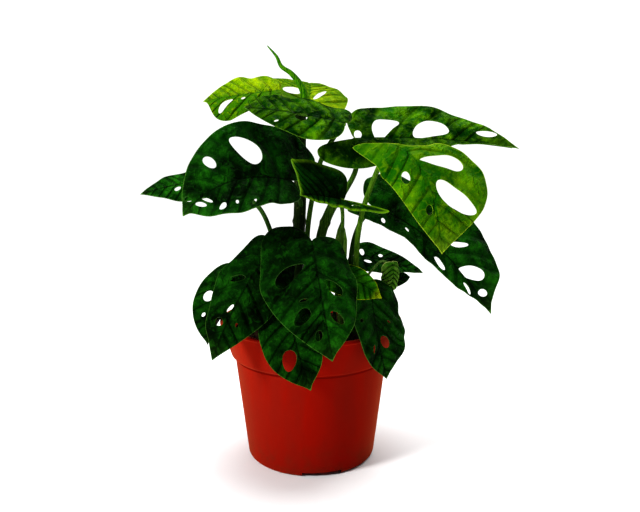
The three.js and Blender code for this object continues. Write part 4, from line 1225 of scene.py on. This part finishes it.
class MONSTERA_OT_soil(bpy.types.Operator):
    """Add the soil: the root ball, its uneven crust, and the loose crumbs and fibres on it"""
    bl_idname = "monstera.soil"
    bl_label = "Soil"

    GAP = 0.3 * MM  # to the pot's wall
    RINGS = [(50.5 * MM, 71.5 * MM), (48.2 * MM, 67.4 * MM)]  # under the band and in the crease
    BOTTOM_INSET = 1 * MM
    GRID = 110
    LUMPS = ((0.9, 90), (0.55, 260), (0.3, 700))  # millimetres high, and how fine
    SINK = 0.9  # millimetres by which the whole crust lies lower
    SEED = 7
    CRUMB_SPREAD = 0.97  # of the soil's radius
    CRUMB_RADIUS = 1.9  # of the largest crumb, in millimetres
    CRUMB_SHARES = (0.35, 1.0)  # whose squares make the others smaller
    CRUMB_STRETCH = (0.55, 1.2)
    CRUMB_ROUGHNESS = (0.8, 1.2)
    FIBRES = {"count": 46, "spread": 0.9, "length": (3, 8), "radius": (0.12, 0.3), "lift": 0.6,
              "arch": 0.5}

    def execute(self, context):
        soil, pot = context.scene.monstera_soil, context.scene.monstera_pot
        low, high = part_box("soil")
        edge = high.x - self.GAP
        bpy.ops.object.select_all(action="DESELECT")
        bpy.ops.mesh.primitive_grid_add(x_subdivisions=self.GRID, y_subdivisions=self.GRID, size=2)
        ball = context.object
        for vertex in ball.data.vertices:
            x, y, _ = vertex.co
            disc = Vector((x * math.sqrt(1 - y * y / 2), y * math.sqrt(1 - x * x / 2), 0)) * edge
            vertex.co = disc
            vertex.co.z = self.height(disc, edge, soil)
        bpy.ops.object.mode_set(mode="EDIT")
        bpy.ops.mesh.select_all(action="SELECT")
        bpy.ops.mesh.region_to_loop()
        bottom = (pot.foot_radius - pot.wall - self.BOTTOM_INSET, low.z + self.BOTTOM_INSET)
        rings = [(edge, soil.top), *self.RINGS, bottom]
        for (before, _), (radius, z) in zip(rings, rings[1:]):
            scale = radius / before
            bpy.ops.mesh.extrude_edges_move()
            bpy.ops.transform.resize(value=(scale, scale, 0), center_override=(0, 0, z))
        close_shell()
        smooth(ball, degrees=60)
        rng = np.random.default_rng(self.SEED)
        litter = [self.crumbs(rng, soil, edge), self.fibres(rng, soil, edge)]
        ball = joined("potting_soil", [ball, *litter])
        ball.data.materials.append(soil_material())
        stand_for(ball, "soil")
        return {"FINISHED"}

    def height(self, place, edge, soil):
        crown = soil.crown * (1 - (place.x ** 2 + place.y ** 2) / edge ** 2)
        lumps = sum(high * noise.noise(place * fineness) for high, fineness in self.LUMPS)
        return soil.top + crown + (lumps - self.SINK) * MM

    def scattered(self, rng, spread, edge, soil):
        """A random place on the soil, within this share of its radius."""
        reach, turn = edge * spread * math.sqrt(rng.random()), rng.uniform(0, 2 * math.pi)
        place = Vector((reach * math.cos(turn), reach * math.sin(turn), 0))
        place.z = self.height(place, edge, soil)
        return np.array(place) / MM

    def crumbs(self, rng, soil, edge):
        points, faces = [], []
        bpy.ops.mesh.primitive_ico_sphere_add(subdivisions=1, radius=1)
        lump = bpy.context.object
        corners = np.array([vertex.co for vertex in lump.data.vertices])
        sides = [tuple(face.vertices) for face in lump.data.polygons]
        bpy.data.objects.remove(lump)
        for _ in range(soil.crumbs):
            place = self.scattered(rng, self.CRUMB_SPREAD, edge, soil)
            size = rng.uniform(*self.CRUMB_SHARES) ** 2 * self.CRUMB_RADIUS
            stretch = rng.uniform(*self.CRUMB_STRETCH, 3)
            shape = corners * stretch * rng.uniform(*self.CRUMB_ROUGHNESS, (len(corners), 1))
            start = len(points)
            points += list(shape * size + place)
            faces += [tuple(start + i for i in side) for side in sides]
        return mesh_piece("crumbs", points, faces)

    def fibres(self, rng, soil, edge):
        fibres = self.FIBRES
        strands = []
        for i in range(fibres["count"]):
            place = self.scattered(rng, fibres["spread"], edge, soil)
            heading = rng.uniform(0, 2 * math.pi)
            length = rng.uniform(*fibres["length"])
            along = np.array([math.cos(heading), math.sin(heading), 0]) * length / 2
            middle = place + (0, 0, fibres["lift"])
            top = middle + (0, 0, fibres["arch"])
            path = smooth_path([middle - along, top, middle + along], step=2)
            radii = np.full(len(path), rng.uniform(*fibres["radius"]))
            strands.append(tube(f"fibre_{i}", path, radii, rounding=0))
        return joined("fibres", strands)


class MONSTERA_OT_stems(bpy.types.Operator):
    """Add the two stems, swollen at their nodes"""
    bl_idname = "monstera.stems"
    bl_label = "Stems"

    # in a stem's radii
    WAIST = 0.93
    SWELLING = 0.16
    ROUNDED_END = (0.97, 0.85, 0.5)
    NODE_SHIFT = 0.4  # in nodes

    def execute(self, context):
        for name, (radius, points) in STEMS.items():
            path = smooth_path(points, step=1.0)
            from_node = (run_of(path) + self.NODE_SHIFT * STEM_NODES) % STEM_NODES - STEM_NODES / 2
            swelling = self.SWELLING * np.exp(-(from_node / NODE_REACH) ** 2)
            radii = radius * (self.WAIST + swelling)
            radii[-3:] *= self.ROUNDED_END
            stem = tube("plant_stem_" + name, path, radii, rounding=6)
            stem.data.materials.append(stalk_material("stem" if name == "centre" else "turning"))
            stand_for(stem, "stem_" + name)
        return {"FINISHED"}


class MONSTERA_OT_petioles(bpy.types.Operator):
    """Add the petioles, which taper upwards and swell where they bend into their blades"""
    bl_idname = "monstera.petioles"
    bl_label = "Petioles"

    # in a petiole's radii
    FOOT = 1.08
    TAPER = 0.2
    KNEE = {"swelling": 0.16, "below_end": 4, "reach": 3.0}
    # how it runs on behind the midrib: millimetres past the blade's base, and in radii how far
    # behind it and how thick
    RUN_ON = {"past": (4.0, 8.0), "behind": (0.7, 0.35), "thickness": (0.62, 0.4)}
    RUN_ON_GAP = 0.3

    def execute(self, context):
        for name, spec in BLADES.items():
            radius, points = spec["petiole"]
            blade = Blade(spec)
            end = blade.behind(PETIOLE_REACH, radius + BLADE_GAP)
            path = smooth_path([*points, end], step=1.2)
            past, behind, thickness = (np.array(part) for part in self.RUN_ON.values())
            beyond = blade.behind(past, behind * radius + self.RUN_ON_GAP)
            run = run_of(path)
            to_knee = run[-1] - run - self.KNEE["below_end"]
            radii = radius * (self.FOOT - self.TAPER * (run / run[-1]))
            swelling = self.KNEE["swelling"] * radius
            radii += swelling * np.exp(-(to_knee / self.KNEE["reach"]) ** 2)
            path = np.vstack([path, beyond])
            radii = np.append(radii, thickness * radius)
            petiole = tube("stalk_of_" + name, path, radii)
            petiole.data.materials.append(stalk_material(spec["age"]))
            stand_for(petiole, "petiole_" + name)
        return {"FINISHED"}


class MONSTERA_OT_blades(bpy.types.Operator):
    """Add every open leaf blade with its holes"""
    bl_idname = "monstera.blades"
    bl_label = "Leaf blades"

    def execute(self, context):
        for name, spec in BLADES.items():
            leaf = build_blade(name, spec, context.scene.monstera_leaves)
            leaf.name = leaf.data.name = "blade_of_" + name
            stand_for(leaf, "leaf_" + name)
        return {"FINISHED"}


def rolled(name, path, radii, twist, step_height=0.45, sides=28):
    """A leaf rolled up round its own midrib: its outer edge steps down onto the turn below by this
    share of the radius, and the step winds once round the roll for every twist millimetres."""
    lap = 0.985  # of a turn, where the outer edge ends
    path = np.asarray(path, float)
    tangents = unit(np.gradient(path, axis=0))
    side = unit(np.cross(tangents[0], (0.0, 1.0, 0.0)))
    points, faces = [], []
    for i, (place, tangent, radius, run) in enumerate(zip(path, tangents, radii, run_of(path))):
        side = unit(side - side.dot(tangent) * tangent)
        up = np.cross(tangent, side)
        low = (i - 1) * sides
        for k in range(sides):
            share = k / (sides - 1)
            angle = 2 * math.pi * (share * lap + run / twist)
            reach = radius * (1 - step_height / 2 + step_height * share ** 2 * 0.5)
            points.append(place + reach * (math.cos(angle) * side + math.sin(angle) * up))
            if i:
                after = low + (k + 1) % sides
                faces.append((low + k, after, after + sides, low + k + sides))
    faces.append(tuple(range(sides))[::-1])
    faces.append(tuple(range(len(points) - sides, len(points))))
    piece = mesh_piece(name, points, faces)
    smooth(piece, degrees=40)
    return piece


class MONSTERA_OT_new_growth(bpy.types.Operator):
    """Add the rolled leaf at the top and the pale sheath between the stems"""
    bl_idname = "monstera.new_growth"
    bl_label = "Rolled leaf and sheath"

    POINTING = 1.5  # how late the rolled leaf narrows to its point

    def execute(self, context):
        path = smooth_path(ROLLED_PATH, step=1.0)
        share = run_of(path) / run_of(path)[-1]
        radii = ROLLED_RADIUS + (ROLLED_POINT_RADIUS - ROLLED_RADIUS) * share ** self.POINTING
        spike = rolled("rolled_leaf", path, radii, ROLLED_TWIST)
        spike.data.materials.append(rolled_material("young", "deep", "light"))
        stand_for(spike, "leaf_rolled")

        widths, heights = zip(*SHEATH_STATIONS)
        rings = np.arange(heights[0], heights[-1], 1.0)
        radii = np.interp(rings, heights, widths)
        path = np.column_stack([*(np.full(len(rings), place) for place in SHEATH_AT), rings])
        sheath = rolled("bud_sheath", path, radii, SHEATH_TWIST)
        sheath.data.materials.append(rolled_material("bud", "light", "patch"))
        stand_for(sheath, "sheath_centre")
        return {"FINISHED"}


class MONSTERA_OT_stage(bpy.types.Operator):
    """Add the floor, the soft lights and the camera"""
    bl_idname = "monstera.stage"
    bl_label = "Stage"

    FLOOR_SIZE = 60
    LIGHTS = (
        # name, place, aims at, size, watts
        ("key", (-0.75, -0.5, 0.62), (0, 0, 0.12), 0.25, 10.5),
        ("rim", (0.75, 0.5, 0.7), (0, 0, 0.14), 0.5, 1.5),
    )
    OVERHEAD = {"energy": 3.2, "angle": math.radians(50)}
    OVERHEAD_TILT = (math.radians(-12), math.radians(8), 0)
    BACKDROP = {"To Min": 0.08, "To Max": 1.0}  # how bright it lights the plant, and how it shows

    def execute(self, context):
        stage = context.scene.monstera_stage
        bpy.ops.object.select_all(action="DESELECT")
        bpy.ops.mesh.primitive_plane_add(size=self.FLOOR_SIZE)
        floor = context.object
        floor.name = floor.data.name = "floor"
        floor.data.materials.append(floor_material(stage.floor))
        for name, place, aim, size, watts in self.LIGHTS:
            light = bpy.data.lights.new(name, "AREA")
            light.shape, light.size, light.energy = "DISK", size, watts
            lamp = new_object(name, light)
            lamp.location = place
            lamp.rotation_euler = (Vector(aim) - Vector(place)).to_track_quat("-Z", "Y").to_euler()
        overhead = bpy.data.lights.new("overhead", "SUN")
        for key, value in self.OVERHEAD.items():
            setattr(overhead, key, value)
        new_object("overhead", overhead).rotation_euler = self.OVERHEAD_TILT
        context.scene.world = self.backdrop()
        context.scene.view_settings.view_transform = "Standard"
        context.scene.view_settings.look = "Medium High Contrast"
        camera = new_object("camera", bpy.data.cameras.new("camera"))
        camera.data.lens = stage.lens
        camera.data.clip_start = 0.01
        camera.location = stage.camera
        camera.rotation_euler = (math.radians(90) - stage.tilt, 0, 0)
        context.scene.camera = camera
        return {"FINISHED"}

    def backdrop(self):
        """A white world, whose own light is dimmer than it shows."""
        world = bpy.data.worlds.new("studio")
        world.use_nodes = True
        tree = world.node_tree
        background = tree.nodes["Background"]
        background.inputs["Color"].default_value = (1, 1, 1, 1)
        rays = tree.nodes.new("ShaderNodeLightPath")
        strength = tree.nodes.new("ShaderNodeMapRange")
        for key, value in self.BACKDROP.items():
            strength.inputs[key].default_value = value
        tree.links.new(rays.outputs["Is Camera Ray"], strength.inputs["Value"])
        tree.links.new(strength.outputs["Result"], background.inputs["Strength"])
        return world


class MONSTERA_PT_panel(bpy.types.Panel):
    """The plant's pieces and settings"""
    bl_label = "Monstera"
    bl_idname = "MONSTERA_PT_panel"
    bl_space_type = "VIEW_3D"
    bl_region_type = "UI"
    bl_category = "Monstera"

    def draw(self, context):
        for operator in OPERATORS:
            self.layout.operator(operator.bl_idname)
        for group in GROUPS:
            settings = getattr(context.scene, group)
            for key in settings.__annotations__:
                self.layout.prop(settings, key)


GROUPS = {
    "monstera_pot": PotSettings,
    "monstera_soil": SoilSettings,
    "monstera_leaves": LeafSettings,
    "monstera_stage": StageSettings,
}
OPERATORS = (
    MONSTERA_OT_stage,
    MONSTERA_OT_pot,
    MONSTERA_OT_soil,
    MONSTERA_OT_stems,
    MONSTERA_OT_petioles,
    MONSTERA_OT_blades,
    MONSTERA_OT_new_growth,
)


def register():
    for made in (*GROUPS.values(), *OPERATORS, MONSTERA_PT_panel):
        bpy.utils.register_class(made)
    for name, group in GROUPS.items():
        setattr(bpy.types.Scene, name, PointerProperty(type=group))


def unregister():
    for name in GROUPS:
        delattr(bpy.types.Scene, name)
    for made in reversed((*GROUPS.values(), *OPERATORS, MONSTERA_PT_panel)):
        bpy.utils.unregister_class(made)


def main():
    register()
    bpy.ops.monstera.stage()
    bpy.ops.monstera.pot()
    bpy.ops.monstera.soil()
    bpy.ops.monstera.stems()
    bpy.ops.monstera.petioles()
    bpy.ops.monstera.blades()
    bpy.ops.monstera.new_growth()


if __name__ == "__main__":
    main()
